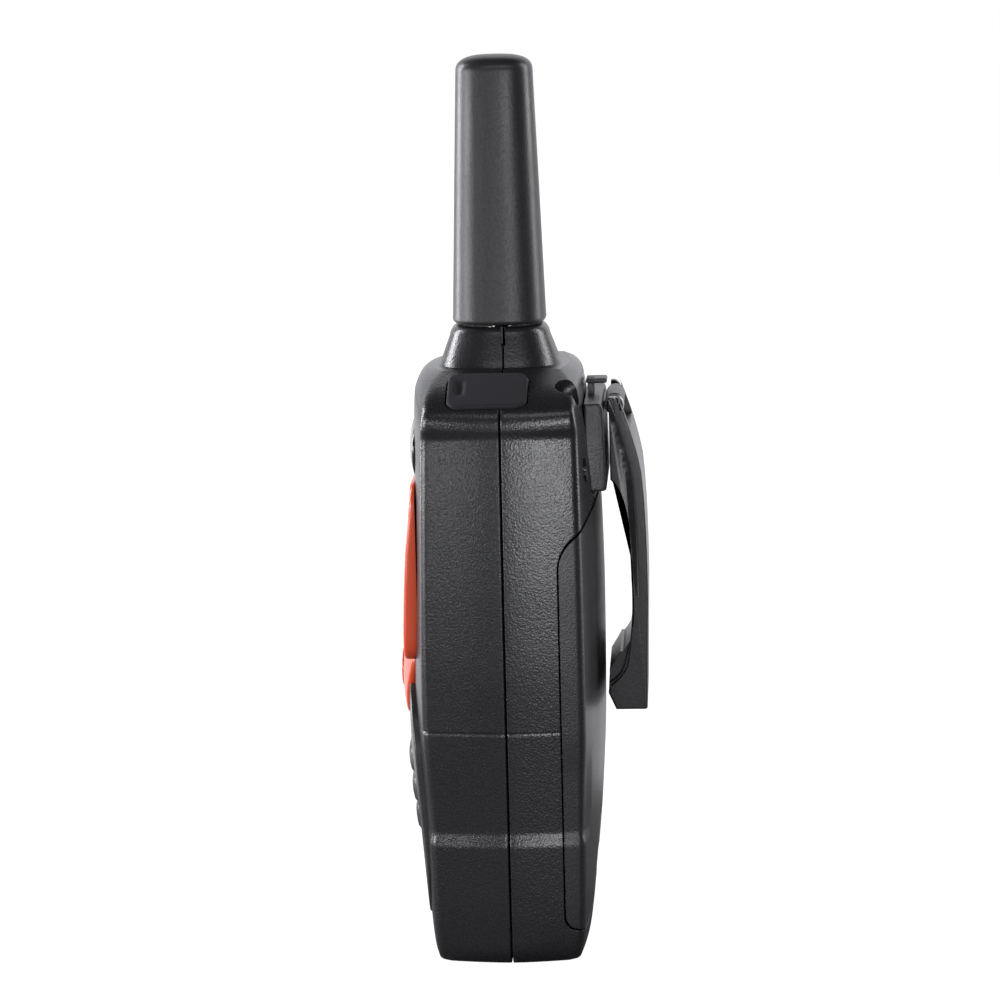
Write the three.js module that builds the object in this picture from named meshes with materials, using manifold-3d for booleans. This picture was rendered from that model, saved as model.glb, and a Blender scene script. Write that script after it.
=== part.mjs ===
// A portable two-way radio: two housing halves with a tapered collar and a stub antenna, a display in a
// bright frame, a select pad, a speaker behind three bars, a talk button, a rubber jack cover, a battery
// door over three cells, and a sprung belt clip on a carrier that slides up off a rail.
// Millimetres, +Z up, front towards -Y, the talk button on the -X side. Sizes are given from the seam
// plane, y = 0, and from the lowest point, z = 0. The whole radio is then moved along Y so that its depth
// is centred on the origin.
import * as THREE from "three";
import { mergeVertices } from "three/addons/utils/BufferGeometryUtils.js";
import Module from "manifold-3d";

const wasm = await Module();
wasm.setup();

// ---- Driving dimensions: housing ----
const BODY_HALF_WIDTH = 29;
const BODY_TOP = 108.4;
const SHOULDER_START = BODY_TOP - 10.9;
const WAIST_TOP = 44.5;
const WAIST_BOTTOM = 22.5;
const WAIST_RAMP = 2.6;
const WAIST_STEP = 0.5;
const WAIST_DEPTH = 1.6;
const SIDE_DRAFT = 1.7;
const CORNER_RADIUS = 2.2;
const FRONT_MID = -17.0;
const BACK_MID = 17.6;
const FRONT_EDGE = -15.2;
const BACK_EDGE = 14.2;
const WALL = 2;
const SEAM_GAP = 0.3;
const PART_GAP = 0.3;

// ---- Driving dimensions: collar and antenna ----
const AERIAL_Y = -1;
const COLLAR_BASE_RADIUS = 11.1;
const COLLAR_TOP_RADIUS = 8.8;
const COLLAR_HEIGHT = 7.2;
const SHEATH_BASE_RADIUS = 8.65;
const SHEATH_TIP_RADIUS = 7.05;
const SHEATH_LENGTH = 49;
const SHEATH_DOME = 3.2;
const SHEATH_BORE_RADIUS = 4.6;
const STUD_RADIUS = 2.2;
const COIL_RADIUS = 3.6;
const COIL_WIRE = 0.45;
const COIL_TURNS = 8;

// ---- Driving dimensions: front ----
const FRAME_HALF_WIDTH = 20;
const FRAME_BOTTOM = 55.6;
const FRAME_HEIGHT = 33;
const FRAME_FACE = -19.2;
const FRAME_FLOOR = -16.2;
const LENS_WIDTH = 29;
const LENS_HEIGHT = 18.5;
const LENS_CENTRE_Z = 74.5;
const LENS_FACE = -17.55;
const LENS_THICKNESS = 1.2;
const FASCIA_HALF_WIDTH = 17;
const FASCIA_HEIGHT = 9.6;
const FASCIA_FACE = -18;
const LAMP_X = 9;
const LAMP_RADIUS = 1.1;
const SOUND_HOLE_X = -9;
const SOUND_HOLE_RADIUS = 0.9;
const PAD_WIDTH = 29;
const PAD_HEIGHT = 16;
const PAD_CENTRE_Z = 50;
const PAD_FACE = -20.6;
const PAD_TILT_ROOM = 0.45;
const BUTTON_RADIUS = 3.6;
const BUTTON_PROUD = 0.2;
const PANEL_HALF_WIDTH = BODY_HALF_WIDTH - 5.6;
const PANEL_BOTTOM = 6.5;
const PANEL_TOP = 50.5;
const PANEL_PROUD = 1.1;
const PANEL_FOOT_PROUD = 0.3;
const PANEL_DEPTH = 0.7;
const BAR_COUNT = 3;
const BAR_PITCH = 5.7;
const BAR_TOP_Z = 38.4;
const BAR_HALF_WIDTH = 16;
const BAR_PROUD = 0.7;
const SLOT_HEIGHT = 0.9;
const SPEAKER_RADIUS = 13.4;

// ---- Driving dimensions: sides, back and clip ----
const TALK_WIDTH = 11;
const TALK_HEIGHT = 25;
const TALK_CENTRE_Z = 78;
const KEY_WIDTH = 8;
const KEY_HEIGHT = 6;
const KEY_CENTRES = [59.5, 51.5];
const KEY_PROUD = 0.9;
const KEY_LIP = 0.9;
const COVER_SLOPE = THREE.MathUtils.degToRad(24.5);
const COVER_LENGTH = 11;
const COVER_WIDTH = 14.4;
const COVER_THICKNESS = 1.4;
const COVER_SEAT = 0.7;
const COVER_X = BODY_HALF_WIDTH - 7.8;
const COVER_Z = BODY_TOP - 2.7;
const COVER_Y = -2.4;
const STRAP_X = BODY_HALF_WIDTH - 8.5;
const STRAP_Y = 14.2;
const STRAP_Z = BODY_TOP - 3.2;
const STRAP_RADIUS = 3.1;
const DOOR_EDGE_Y = 10;
const DOOR_BOTTOM = 6.8;
const DOOR_TOP = BODY_TOP - 23;
const DOOR_SIDE_TOP = DOOR_TOP - 10;
const DOOR_WALL = 1.8;
const LATCH_WIDTH = 10;
const LATCH_HEIGHT = 4.6;
const LATCH_TRAVEL = 1.6;
const CELL_RADIUS = 7.05;
const CELL_LENGTH = 50;
const CELL_PITCH = 2 * CELL_RADIUS + 0.5;
const CELL_BASE_Z = 22.4;
const BAY_WALL = 1.2;
const BAY_FRONT_Y = -1.7;
const CELL_Y = BAY_FRONT_Y + CELL_RADIUS + 0.45;
const CARRIER_HALF_WIDTH = 15;
const CARRIER_TOP = BODY_TOP - 6.2;
const CARRIER_BOTTOM = DOOR_TOP + 0.6;
const CARRIER_FLOOR = 14.4;
const CARRIER_FACE = 18.6;
const RAIL_NECK = 4;
const RAIL_HEAD = 6.5;
const RAIL_STEP_Y = 16;
const RAIL_FACE_Y = 17.1;
const CLIP_HALF_WIDTH = 12.5;
const CLIP_FLANGE = 2;
const CLIP_WEB = 1.7;
const CLIP_BACK = 25.8;
const CLIP_TOE_Z = 44.7;
const PIVOT_Y = 20.1;
const PIVOT_Z = CARRIER_TOP - 1;
const PIN_RADIUS = 0.9;
const PIN_CLEARANCE = 0.08;
const BARREL_RADIUS = 1.75;
const BARREL_HALF_WIDTH = 6.4;

// ---- Driving dimensions: inside ----
const BOARD_Y = -9.6;
const BOARD_THICKNESS = 1.2;
const BOARD_BOTTOM = 7;
const BOARD_TOP = BODY_TOP - 8.4;
const SCREW_X = BODY_HALF_WIDTH - 8.7;
const SCREW_HEIGHTS = [9.6, BODY_TOP - 17.4];
const BOSS_RADIUS = 2.4;
const BOARD_HALF_WIDTH = SCREW_X - BOSS_RADIUS - 0.4;
const SCREW_RADIUS = 1.05;
const SCREW_HEAD_RADIUS = 1.9;
const SCREW_LENGTH = 15;

const SIDES = 18;
const SIMPLIFY_TOLERANCE = 0.02;
const radio = new THREE.Group();

// ---- Solids and geometry ----

/** A closed geometry as a solid that can be cut and joined. */
function solidOf(geometry) {
  const bare = geometry.index ? geometry.toNonIndexed() : geometry.clone();
  bare.deleteAttribute("normal");
  bare.deleteAttribute("uv");
  const merged = mergeVertices(bare, 1e-4);
  return new wasm.Manifold(
    new wasm.Mesh({
      numProp: 3,
      vertProperties: merged.attributes.position.array,
      triVerts: new Uint32Array(merged.index.array),
    }),
  );
}

/** A solid's surface as a geometry, without the slivers that cutting leaves. */
function geometryOf(solid) {
  const mesh = solid.simplify(SIMPLIFY_TOLERANCE).getMesh();
  const geometry = new THREE.BufferGeometry();
  geometry.setAttribute("position", new THREE.BufferAttribute(new Float32Array(mesh.vertProperties), 3));
  geometry.setIndex(new THREE.BufferAttribute(new Uint32Array(mesh.triVerts), 1));
  return geometry;
}

/** A box between two corners. */
function block(low, high) {
  const size = high.map((value, i) => value - low[i]);
  const geometry = new THREE.BoxGeometry(...size);
  return solidOf(geometry.translate(...low.map((value, i) => value + size[i] / 2)));
}

/** A rounded rectangle as a shape, centred on (cx, cy). */
function roundedRectangle(width, height, radius, cx = 0, cy = 0) {
  const r = Math.min(radius, width / 2 - 0.01, height / 2 - 0.01);
  const [left, right, low, high] = [cx - width / 2, cx + width / 2, cy - height / 2, cy + height / 2];
  const shape = new THREE.Shape();
  shape.moveTo(left + r, low);
  shape.lineTo(right - r, low);
  shape.absarc(right - r, low + r, r, -Math.PI / 2, 0);
  shape.lineTo(right, high - r);
  shape.absarc(right - r, high - r, r, 0, Math.PI / 2);
  shape.lineTo(left + r, high);
  shape.absarc(left + r, high - r, r, Math.PI / 2, Math.PI);
  shape.lineTo(left, low + r);
  shape.absarc(left + r, low + r, r, Math.PI, 1.5 * Math.PI);
  return shape;
}

/** A shape drawn in (x, z), extruded from y0 to y1. */
function extrudeY(shape, y0, y1) {
  const depth = y1 - y0;
  const geometry = new THREE.ExtrudeGeometry(shape, { depth, bevelEnabled: false, curveSegments: 3 });
  return solidOf(geometry.rotateX(Math.PI / 2).translate(0, y1, 0));
}

/** A shape drawn in (y, z), extruded from x0 to x1. */
function extrudeX(shape, x0, x1) {
  const depth = x1 - x0;
  const geometry = new THREE.ExtrudeGeometry(shape, { depth, bevelEnabled: false, curveSegments: 3 });
  geometry.rotateY(Math.PI / 2).rotateX(Math.PI / 2);
  return solidOf(geometry.translate(x0, 0, 0));
}

/** A round bar along an axis, from its base point. */
function rod(radius, length, base, axis = "z", sides = SIDES) {
  const geometry = new THREE.CylinderGeometry(radius, radius, length, sides).translate(0, length / 2, 0);
  if (axis === "z") geometry.rotateX(Math.PI / 2);
  if (axis === "x") geometry.rotateZ(-Math.PI / 2);
  return solidOf(geometry.translate(...base));
}

/** A turned piece about Z, from (radius, height) pairs that start and end on the axis. */
function turned(profile, sides = SIDES) {
  const points = profile.map(([radius, height]) => new THREE.Vector2(radius, height));
  return new THREE.LatheGeometry(points, sides).rotateX(Math.PI / 2);
}

/** A skin through rings of equal length, lowest first, each anticlockwise from above, closed at both ends. */
function loft(rings) {
  const count = rings[0].length;
  const points = rings.flat();
  const middle = (ring) => {
    const sum = ring.reduce((total, p) => total.map((value, i) => value + p[i]), [0, 0, 0]);
    return sum.map((value) => value / ring.length);
  };
  const lowMiddle = points.push(middle(rings[0])) - 1;
  const highMiddle = points.push(middle(rings.at(-1))) - 1;
  const faces = [];
  for (let j = 0; j < count; j++) {
    const next = (j + 1) % count;
    const top = (rings.length - 1) * count;
    faces.push(lowMiddle, next, j, highMiddle, top + j, top + next);
    for (let i = 0; i < rings.length - 1; i++) {
      const [a, b, c, d] = [i * count + j, i * count + next, (i + 1) * count + next, (i + 1) * count + j];
      faces.push(a, b, c, a, c, d);
    }
  }
  const geometry = new THREE.BufferGeometry();
  geometry.setAttribute("position", new THREE.Float32BufferAttribute(points.flat(), 3));
  return geometry.setIndex(faces);
}

/** A round wire wound into a helix about Z, from z0 to z1. */
function helix(radius, wire, turns, z0, z1) {
  class Helix extends THREE.Curve {
    getPoint(t) {
      const angle = 2 * Math.PI * turns * t;
      return new THREE.Vector3(radius * Math.cos(angle), radius * Math.sin(angle), z0 + (z1 - z0) * t);
    }
  }
  const section = new THREE.Shape();
  section.absarc(0, 0, wire, 0, 2 * Math.PI);
  const steps = Math.round(turns * 8);
  const options = { steps, curveSegments: 3, bevelEnabled: false, extrudePath: new Helix() };
  return new THREE.ExtrudeGeometry(section, options);
}

/** Names a piece, gives it its material and adds it to the radio or to a group. */
function addPiece(name, piece, material, parent = radio) {
  const mesh = new THREE.Mesh(piece.isBufferGeometry ? piece : geometryOf(piece), material);
  mesh.name = name;
  parent.add(mesh);
  return mesh;
}

// ---- Materials ----
const plastic = (color, roughness = 0.5) => new THREE.MeshStandardMaterial({ color, roughness, metalness: 0 });
const metal = (color, roughness = 0.35) => new THREE.MeshStandardMaterial({ color, roughness, metalness: 1 });
const blackPlastic = plastic(0x242427, 0.45);
const clipPlastic = plastic(0x1e1e20, 0.5);
const aerialRubber = plastic(0x27272a, 0.6);
const blackRubber = plastic(0x1a1a1b, 0.75);
const orangePlastic = plastic(0xd84a22, 0.35);
const darkGloss = plastic(0x1a1a1d, 0.15);
const clearPlastic = plastic(0x99a5a0, 0.08);
const screenGlass = plastic(0x8c9a86, 0.2);
const whitePlastic = plastic(0xd9dad6, 0.4);
const boardGreen = plastic(0x1f5a38, 0.5);
const blackCloth = plastic(0x121212, 0.95);
const paperCone = plastic(0x2b2724, 0.9);
const steel = metal(0xb9bbbd);
const nickel = metal(0xcfcabd);
const copper = metal(0xb87a4b);
const cellSleeve = plastic(0x2f5f9c, 0.35);

// ---- Housing form ----

/** A smooth curve through (height, value) pairs that never swings past its points. */
function profile(pairs) {
  const rise = pairs.slice(1).map(([z, v], i) => (v - pairs[i][1]) / (z - pairs[i][0]));
  const slopes = pairs.map((_, i) => {
    if (i === 0 || i === pairs.length - 1) return rise[Math.min(i, rise.length - 1)];
    return rise[i - 1] * rise[i] <= 0 ? 0 : (2 * rise[i - 1] * rise[i]) / (rise[i - 1] + rise[i]);
  });
  return (height) => {
    const z = THREE.MathUtils.clamp(height, pairs[0][0], pairs.at(-1)[0]);
    const i = Math.max(0, Math.min(pairs.findIndex(([key]) => key >= z) - 1, pairs.length - 2));
    const [[z0, v0], [z1, v1]] = [pairs[i], pairs[i + 1]];
    const h = z1 - z0;
    const t = (z - z0) / h;
    const [t2, t3] = [t * t, t * t * t];
    const ends = v0 * (2 * t3 - 3 * t2 + 1) + v1 * (3 * t2 - 2 * t3);
    return ends + h * (slopes[i] * (t3 - 2 * t2 + t) + slopes[i + 1] * (t3 - t2));
  };
}

// How far the side stands in from the full half width, from the foot to the top of the shoulder.
const sideIn = profile([
  [0, 4.4], [0.9, 2.6], [3, 1.5], [WAIST_BOTTOM, 0.8], [WAIST_TOP, 0.3], [60, 0], [78, 0.3],
  [SHOULDER_START, 1.1], [BODY_TOP - 7.9, 1.2], [BODY_TOP - 5.4, 2.6], [BODY_TOP - 3.2, 6.6],
  [BODY_TOP - 1.2, 11.8],
  [BODY_TOP - 0.3, 15.2], [BODY_TOP, 16.6],
]);
// How far the middle of the front and of the back stand in from their fullest.
const frontIn = profile([
  [0, 3], [0.9, 2.2], [3, 1.7], [WAIST_BOTTOM, 0.3], [WAIST_TOP, -0.8], [58, -0.5], [75, 0.2],
  [SHOULDER_START, 0.3],
  [BODY_TOP - 4, 0.4], [BODY_TOP - 1.8, 1.1], [BODY_TOP - 0.6, 2.4], [BODY_TOP, 4.2],
]);
const backIn = profile([
  [0, 4.8], [0.9, 3.8], [3, 3.4], [9, 2.7], [27, 1], [WAIST_TOP, 0.15], [65, 0], [84, 0.4], [95, 1.7],
  [BODY_TOP - 4.4, 3.1], [BODY_TOP - 2, 3.4], [BODY_TOP - 0.8, 4.2], [BODY_TOP, 5.7],
]);
// How far the edges of the side face stand in from their fullest.
const frontEdgeIn = profile([
  [0, 3], [1, 2], [7, 1.3], [WAIST_BOTTOM, 0.9], [WAIST_TOP, 0], [SHOULDER_START, 0.9],
  [BODY_TOP - 4, 1.8], [BODY_TOP - 1.4, 2.8], [BODY_TOP, 4.2],
]);
const backEdgeIn = profile([
  [0, 3], [1, 1.8], [7, 0.7], [WAIST_BOTTOM, 0.4], [WAIST_TOP, 0.1], [SHOULDER_START, 0.5],
  [BODY_TOP - 4, 1.2], [BODY_TOP - 1.4, 2.2], [BODY_TOP, 3.8],
]);

/**
 * How deep the grip's waist is cut into the side at a height: a crisp top edge, a sloping floor
 * and a ramp out.
 */
function waistAt(z) {
  if (z <= WAIST_BOTTOM || z >= WAIST_TOP) return 0;
  const rampTop = WAIST_BOTTOM + WAIST_RAMP;
  if (z < rampTop) return (WAIST_DEPTH * (z - WAIST_BOTTOM)) / WAIST_RAMP;
  return WAIST_DEPTH + ((WAIST_STEP - WAIST_DEPTH) * (z - rampTop)) / (WAIST_TOP - rampTop);
}

/**
 * The housing's outline at a height, grown outwards by a distance, as a ring that starts at the
 * front's middle.
 */
function bodyRing(z, grow = 0, height = z, crownSteps = 3, cornerSteps = 2) {
  const side = BODY_HALF_WIDTH - sideIn(z) - waistAt(z) + grow;
  const draft = SIDE_DRAFT * Math.min(1, (BODY_TOP - z) / 12);
  const edge = side - draft;
  const front = FRONT_MID + frontIn(z) - grow;
  const back = BACK_MID - backIn(z) + grow;
  const frontEdge = FRONT_EDGE + frontEdgeIn(z) - grow;
  const backEdge = BACK_EDGE - backEdgeIn(z) + grow;
  const crown = (middle, rim, power) =>
    Array.from({ length: crownSteps }, (_, i) => {
      const share = (0.9 * i) / (crownSteps - 0.5);
      return new THREE.Vector2(edge * share, middle + (rim - middle) * share ** power);
    });
  const corner = (before, at, after) => {
    const reach = Math.min(CORNER_RADIUS, 0.45 * before.distanceTo(at), 0.45 * after.distanceTo(at));
    const start = at.clone().lerp(before, reach / before.distanceTo(at));
    const end = at.clone().lerp(after, reach / after.distanceTo(at));
    return new THREE.QuadraticBezierCurve(start, at, end).getPoints(cornerSteps);
  };
  const frontCrown = crown(front, frontEdge, 3);
  const backCrown = crown(back, backEdge, 1.9).reverse();
  const seam = new THREE.Vector2(side, 0);
  const half = [
    ...frontCrown,
    ...corner(frontCrown.at(-1), new THREE.Vector2(edge, frontEdge), seam),
    seam,
    ...corner(seam, new THREE.Vector2(edge, backEdge), backCrown[0]),
    ...backCrown,
  ];
  const other = half.slice(1, -1).reverse();
  return [...half.map((p) => [p.x, p.y, height]), ...other.map((p) => [-p.x, p.y, height])];
}

const BODY_LEVELS = [
  0, 0.7, 2.4, 12, WAIST_BOTTOM, WAIST_BOTTOM + WAIST_RAMP, WAIST_TOP - 0.1, WAIST_TOP, 58, 74, 88,
  SHOULDER_START, BODY_TOP - 7, BODY_TOP - 4.8, BODY_TOP - 3, BODY_TOP - 1.6, BODY_TOP - 0.6, BODY_TOP,
];
const CAVITY_LEVELS = [
  WALL, 8, WAIST_BOTTOM, WAIST_BOTTOM + WAIST_RAMP, WAIST_TOP, 66, 88, SHOULDER_START,
  BODY_TOP - 7.4, BODY_TOP - 4.8, BODY_TOP - WALL,
];

/** The housing's outer form as one solid, grown outwards by a distance. */
function bodyForm(grow = 0) {
  return solidOf(loft(BODY_LEVELS.map((z) => bodyRing(z, grow))));
}

/** The hollow inside the housing, a wall's thickness in from the outer form. */
function cavityForm() {
  const rings = CAVITY_LEVELS.map((z) => {
    const lift = WALL * THREE.MathUtils.smoothstep(z, SHOULDER_START - 8, BODY_TOP - WALL);
    return bodyRing(z + lift, -WALL, z, 2, 1);
  });
  return solidOf(loft(rings));
}

/** A ring like a square with very round corners, for the collar and the aerial. */
function softSquareRing(halfX, halfY, z, count = 20, power = 2.7) {
  return Array.from({ length: count }, (_, i) => {
    const angle = (2 * Math.PI * i) / count;
    const [c, s] = [Math.cos(angle), Math.sin(angle)];
    const reach = (Math.abs(c) ** power + Math.abs(s) ** power) ** (-1 / power);
    return [halfX * reach * c, AERIAL_Y + halfY * reach * s, z];
  });
}

/** The tapered collar under the aerial, with a rounded top edge. */
function collarForm() {
  const top = BODY_TOP + COLLAR_HEIGHT;
  const steps = [
    [BODY_TOP - 1, COLLAR_BASE_RADIUS + 0.3],
    [BODY_TOP, COLLAR_BASE_RADIUS],
    [top - 1.6, COLLAR_TOP_RADIUS + 0.35],
    [top - 0.6, COLLAR_TOP_RADIUS - 0.1],
    [top, COLLAR_TOP_RADIUS - 0.9],
  ];
  return solidOf(loft(steps.map(([z, r]) => softSquareRing(r * 0.95, r, z))));
}

// ---- Outlines shared by pieces and the openings that they sit in ----
const frameCentreZ = FRAME_BOTTOM + FRAME_HEIGHT / 2;
const fasciaCentreZ = FRAME_BOTTOM + FRAME_HEIGHT + PART_GAP + FASCIA_HEIGHT / 2;

/** The display frame's outline, grown by a gap. */
function frameOutline(grow = 0) {
  return roundedRectangle(2 * (FRAME_HALF_WIDTH + grow), FRAME_HEIGHT + 2 * grow, 4 + grow, 0, frameCentreZ);
}

/** The fascia's outline, grown by a gap. */
function fasciaOutline(grow = 0) {
  const width = 2 * (FASCIA_HALF_WIDTH + grow);
  return roundedRectangle(width, FASCIA_HEIGHT + 2 * grow, 4 + grow, 0, fasciaCentreZ);
}

/** The select pad's outline, a shield that narrows downwards, grown by a gap. */
function padOutline(grow = 0) {
  const [w, h] = [PAD_WIDTH / 2 + grow, PAD_HEIGHT / 2 + grow];
  const shape = new THREE.Shape();
  shape.moveTo(0, PAD_CENTRE_Z - h);
  shape.quadraticCurveTo(0.55 * w, PAD_CENTRE_Z - h, 0.75 * w, PAD_CENTRE_Z - 0.3 * h);
  shape.quadraticCurveTo(w, PAD_CENTRE_Z + 0.2 * h, w, PAD_CENTRE_Z + 0.6 * h);
  shape.quadraticCurveTo(w, PAD_CENTRE_Z + h, 0.72 * w, PAD_CENTRE_Z + h);
  shape.lineTo(-0.72 * w, PAD_CENTRE_Z + h);
  shape.quadraticCurveTo(-w, PAD_CENTRE_Z + h, -w, PAD_CENTRE_Z + 0.6 * h);
  shape.quadraticCurveTo(-w, PAD_CENTRE_Z + 0.2 * h, -0.75 * w, PAD_CENTRE_Z - 0.3 * h);
  shape.quadraticCurveTo(-0.55 * w, PAD_CENTRE_Z - h, 0, PAD_CENTRE_Z - h);
  return shape;
}

/** The lower panel's outline, grown by a gap. */
function panelOutline(grow = 0) {
  const height = PANEL_TOP - PANEL_BOTTOM + 2 * grow;
  return roundedRectangle(2 * (PANEL_HALF_WIDTH + grow), height, 12 + grow, 0, (PANEL_TOP + PANEL_BOTTOM) / 2);
}

/**
 * The battery door's outline from the side: straight down the flank, round at the foot, an
 * S-curve at its top.
 */
function doorOutline(grow = 0) {
  const edge = DOOR_EDGE_Y - grow;
  const foot = DOOR_BOTTOM - grow;
  const far = BACK_MID + 6;
  const radius = 3.2;
  const shape = new THREE.Shape();
  shape.moveTo(far, foot);
  shape.lineTo(edge + radius, foot);
  shape.quadraticCurveTo(edge, foot, edge, foot + radius);
  shape.lineTo(edge, DOOR_SIDE_TOP - 1.6);
  shape.quadraticCurveTo(edge, DOOR_SIDE_TOP + 2 + grow, edge + 3.2, DOOR_SIDE_TOP + 4.4 + grow);
  shape.quadraticCurveTo(edge + 4.8, DOOR_SIDE_TOP + 5.6 + grow, edge + 6.6, DOOR_TOP - 1.2 + grow);
  shape.lineTo(edge + 7.4, DOOR_TOP + grow);
  shape.lineTo(far, DOOR_TOP + grow);
  return shape;
}

/** Where the jack cover sits: its middle on the shoulder, turned down the slope. */
function coverPlace() {
  const place = new THREE.Object3D();
  place.position.set(COVER_X, COVER_Y, COVER_Z);
  place.rotation.y = COVER_SLOPE;
  place.updateMatrix();
  return place;
}

/** A solid made in the jack cover's own frame, moved onto the shoulder. */
function onShoulder(geometry) {
  return solidOf(geometry.applyMatrix4(coverPlace().matrix));
}

/** A rounded plate in the jack cover's own frame, between two depths. */
function coverPlate(length, width, radius, low, high) {
  const shape = roundedRectangle(length, width, radius);
  const depth = high - low;
  const geometry = new THREE.ExtrudeGeometry(shape, { depth, bevelEnabled: false, curveSegments: 3 });
  return geometry.translate(0, 0, low);
}

// ---- Side keys ----
const sideKeys = [
  { name: "talk_button", width: TALK_WIDTH, height: TALK_HEIGHT, z: TALK_CENTRE_Z, radius: 3.6 },
  { name: "call_key", width: KEY_WIDTH, height: KEY_HEIGHT, z: KEY_CENTRES[0], radius: 2 },
  { name: "power_key", width: KEY_WIDTH, height: KEY_HEIGHT, z: KEY_CENTRES[1], radius: 2 },
];

/** How far out the left side face is at a height, on the seam. */
function flankAt(z) {
  return BODY_HALF_WIDTH - sideIn(z) - waistAt(z);
}

/** A side key: a rounded cap through the wall, with a lip behind it that stops it falling out. */
function sideKey({ width, height, z, radius }) {
  const face = -(flankAt(z) + KEY_PROUD);
  const narrowest = Math.min(flankAt(z), flankAt(z + height / 2 + KEY_LIP));
  const lipFace = -(narrowest - WALL - SIDE_DRAFT / 2 - PART_GAP);
  const cap = extrudeX(roundedRectangle(width, height, radius, 0, z), face, lipFace + 1);
  const lipShape = roundedRectangle(width + 2 * KEY_LIP, height + 2 * KEY_LIP, radius, 0, z);
  return cap.add(extrudeX(lipShape, lipFace, lipFace + 1));
}

/** The opening that a side key moves in. */
function sideKeyOpening({ width, height, z, radius }) {
  const shape = roundedRectangle(width + 2 * PART_GAP, height + 2 * PART_GAP, radius + PART_GAP, 0, z);
  return extrudeX(shape, -BODY_HALF_WIDTH - 5, -BODY_HALF_WIDTH + 8);
}

// ---- Housing halves, panel and door ----
const outer = bodyForm().add(collarForm());
const cavity = cavityForm();
const seamSide = (y0, y1) => block([-60, y0, -5], [60, y1, 200]);
const collarTop = BODY_TOP + COLLAR_HEIGHT;
const aerialHole = rod(STUD_RADIUS + PART_GAP, 20, [0, AERIAL_Y, collarTop - 15]);
const coverSeat = onShoulder(
  coverPlate(COVER_LENGTH + 2 * PART_GAP, COVER_WIDTH + 2 * PART_GAP, 2.2, -COVER_SEAT - PART_GAP / 2, 6),
);
const jackPocket = onShoulder(coverPlate(COVER_LENGTH - 3.4, COVER_WIDTH - 3.4, 1.4, -6, 0));

/** The four screw posts, from y0 to y1. */
function posts(radius, y0, y1) {
  const at = SCREW_HEIGHTS.flatMap((z) => [[-SCREW_X, z], [SCREW_X, z]]);
  const made = at.map(([x, z]) => rod(radius, y1 - y0, [x, y0, z], "y", 12));
  return made.reduce((all, one) => all.add(one));
}

/** Ribs that tie the screw posts to the floor and to the shoulders, from y0 to y1. */
function postRibs(y0, y1) {
  const ribs = SCREW_HEIGHTS.flatMap((z, row) => {
    const [low, high] = row === 0 ? [0.3, z] : [z, BODY_TOP];
    return [-SCREW_X - 1.5, SCREW_X + 1.5].map((x) => block([x - 0.7, y0, low], [x + 0.7, y1, high]));
  });
  return ribs.reduce((all, one) => all.add(one)).intersect(bodyForm(-WALL / 2));
}

/** The horizontal openings in front of the speaker. */
function speakerSlots(y0, y1) {
  const made = Array.from({ length: BAR_COUNT + 1 }, (_, i) => {
    const z = BAR_TOP_Z + SLOT_HEIGHT / 2 - i * BAR_PITCH;
    const half = BAR_HALF_WIDTH - (i === BAR_COUNT ? 5 : 1.5);
    return block([-half, y0, z - SLOT_HEIGHT / 2], [half, y1, z + SLOT_HEIGHT / 2]);
  });
  return made.reduce((all, one) => all.add(one));
}

/**
 * The front half: window, pad opening, speaker slots, pockets for the frame and fascia, and the
 * screw posts.
 */
function frontHousing() {
  const shell = outer.intersect(seamSide(-60, -SEAM_GAP / 2)).subtract(cavity.intersect(seamSide(-60, 0)));
  const inside = cavity.intersect(seamSide(-60, -SEAM_GAP / 2));
  const panelRecess = extrudeY(panelOutline(PART_GAP), -40, -5).subtract(bodyForm(-PANEL_DEPTH - 0.05));
  return shell
    .add(posts(BOSS_RADIUS, -16.5, -SEAM_GAP / 2).intersect(inside.add(shell)))
    .add(postRibs(-12, -1))
    .subtract(posts(SCREW_RADIUS + 0.1, -10, 5))
    .subtract(extrudeY(frameOutline(PART_GAP), -40, FRAME_FLOOR))
    .subtract(extrudeY(fasciaOutline(PART_GAP), -40, FRAME_FLOOR))
    .subtract(panelRecess)
    .subtract(extrudeY(roundedRectangle(LENS_WIDTH - 2, LENS_HEIGHT - 2, 1.5, 0, LENS_CENTRE_Z), -40, -8))
    .subtract(extrudeY(padOutline(PAD_TILT_ROOM), -40, -8))
    .subtract(speakerSlots(-40, -8))
    .subtract(rod(SOUND_HOLE_RADIUS, 12, [SOUND_HOLE_X, -20, fasciaCentreZ], "y", 10))
    .subtract(rod(LAMP_RADIUS + PART_GAP, 12, [LAMP_X, -20, fasciaCentreZ], "y", 12))
    .subtract(sideKeys.map(sideKeyOpening).reduce((all, one) => all.add(one)))
    .subtract(coverSeat)
    .subtract(jackPocket)
    .subtract(aerialHole);
}

/**
 * The gasket: a strip along the seam, up the right side to the jack cover and up the left side to
 * the keys.
 */
function gasketForm(width, y0, y1) {
  const outline = (inset) => {
    const levels = BODY_LEVELS.filter((z) => z >= 1.4 && z <= BODY_TOP - 1.2);
    const right = levels.map((z) => new THREE.Vector2(flankAt(z) - inset, z));
    right[0].y = 0.3 + inset;
    right.at(-1).y = BODY_TOP - 0.6 - inset;
    const left = right.map((p) => new THREE.Vector2(-p.x, p.y)).reverse();
    return new THREE.Shape([...right, ...left]);
  };
  const middle = WALL / 2 + 0.1;
  const reach = block([0, y0, -5], [60, y1, SHOULDER_START - 2]).add(block([-60, y0, -5], [1, y1, WAIST_TOP]));
  return extrudeY(outline(middle - width / 2), y0, y1)
    .subtract(extrudeY(outline(middle + width / 2), y0 - 1, y1 + 1))
    .intersect(reach);
}

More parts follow.
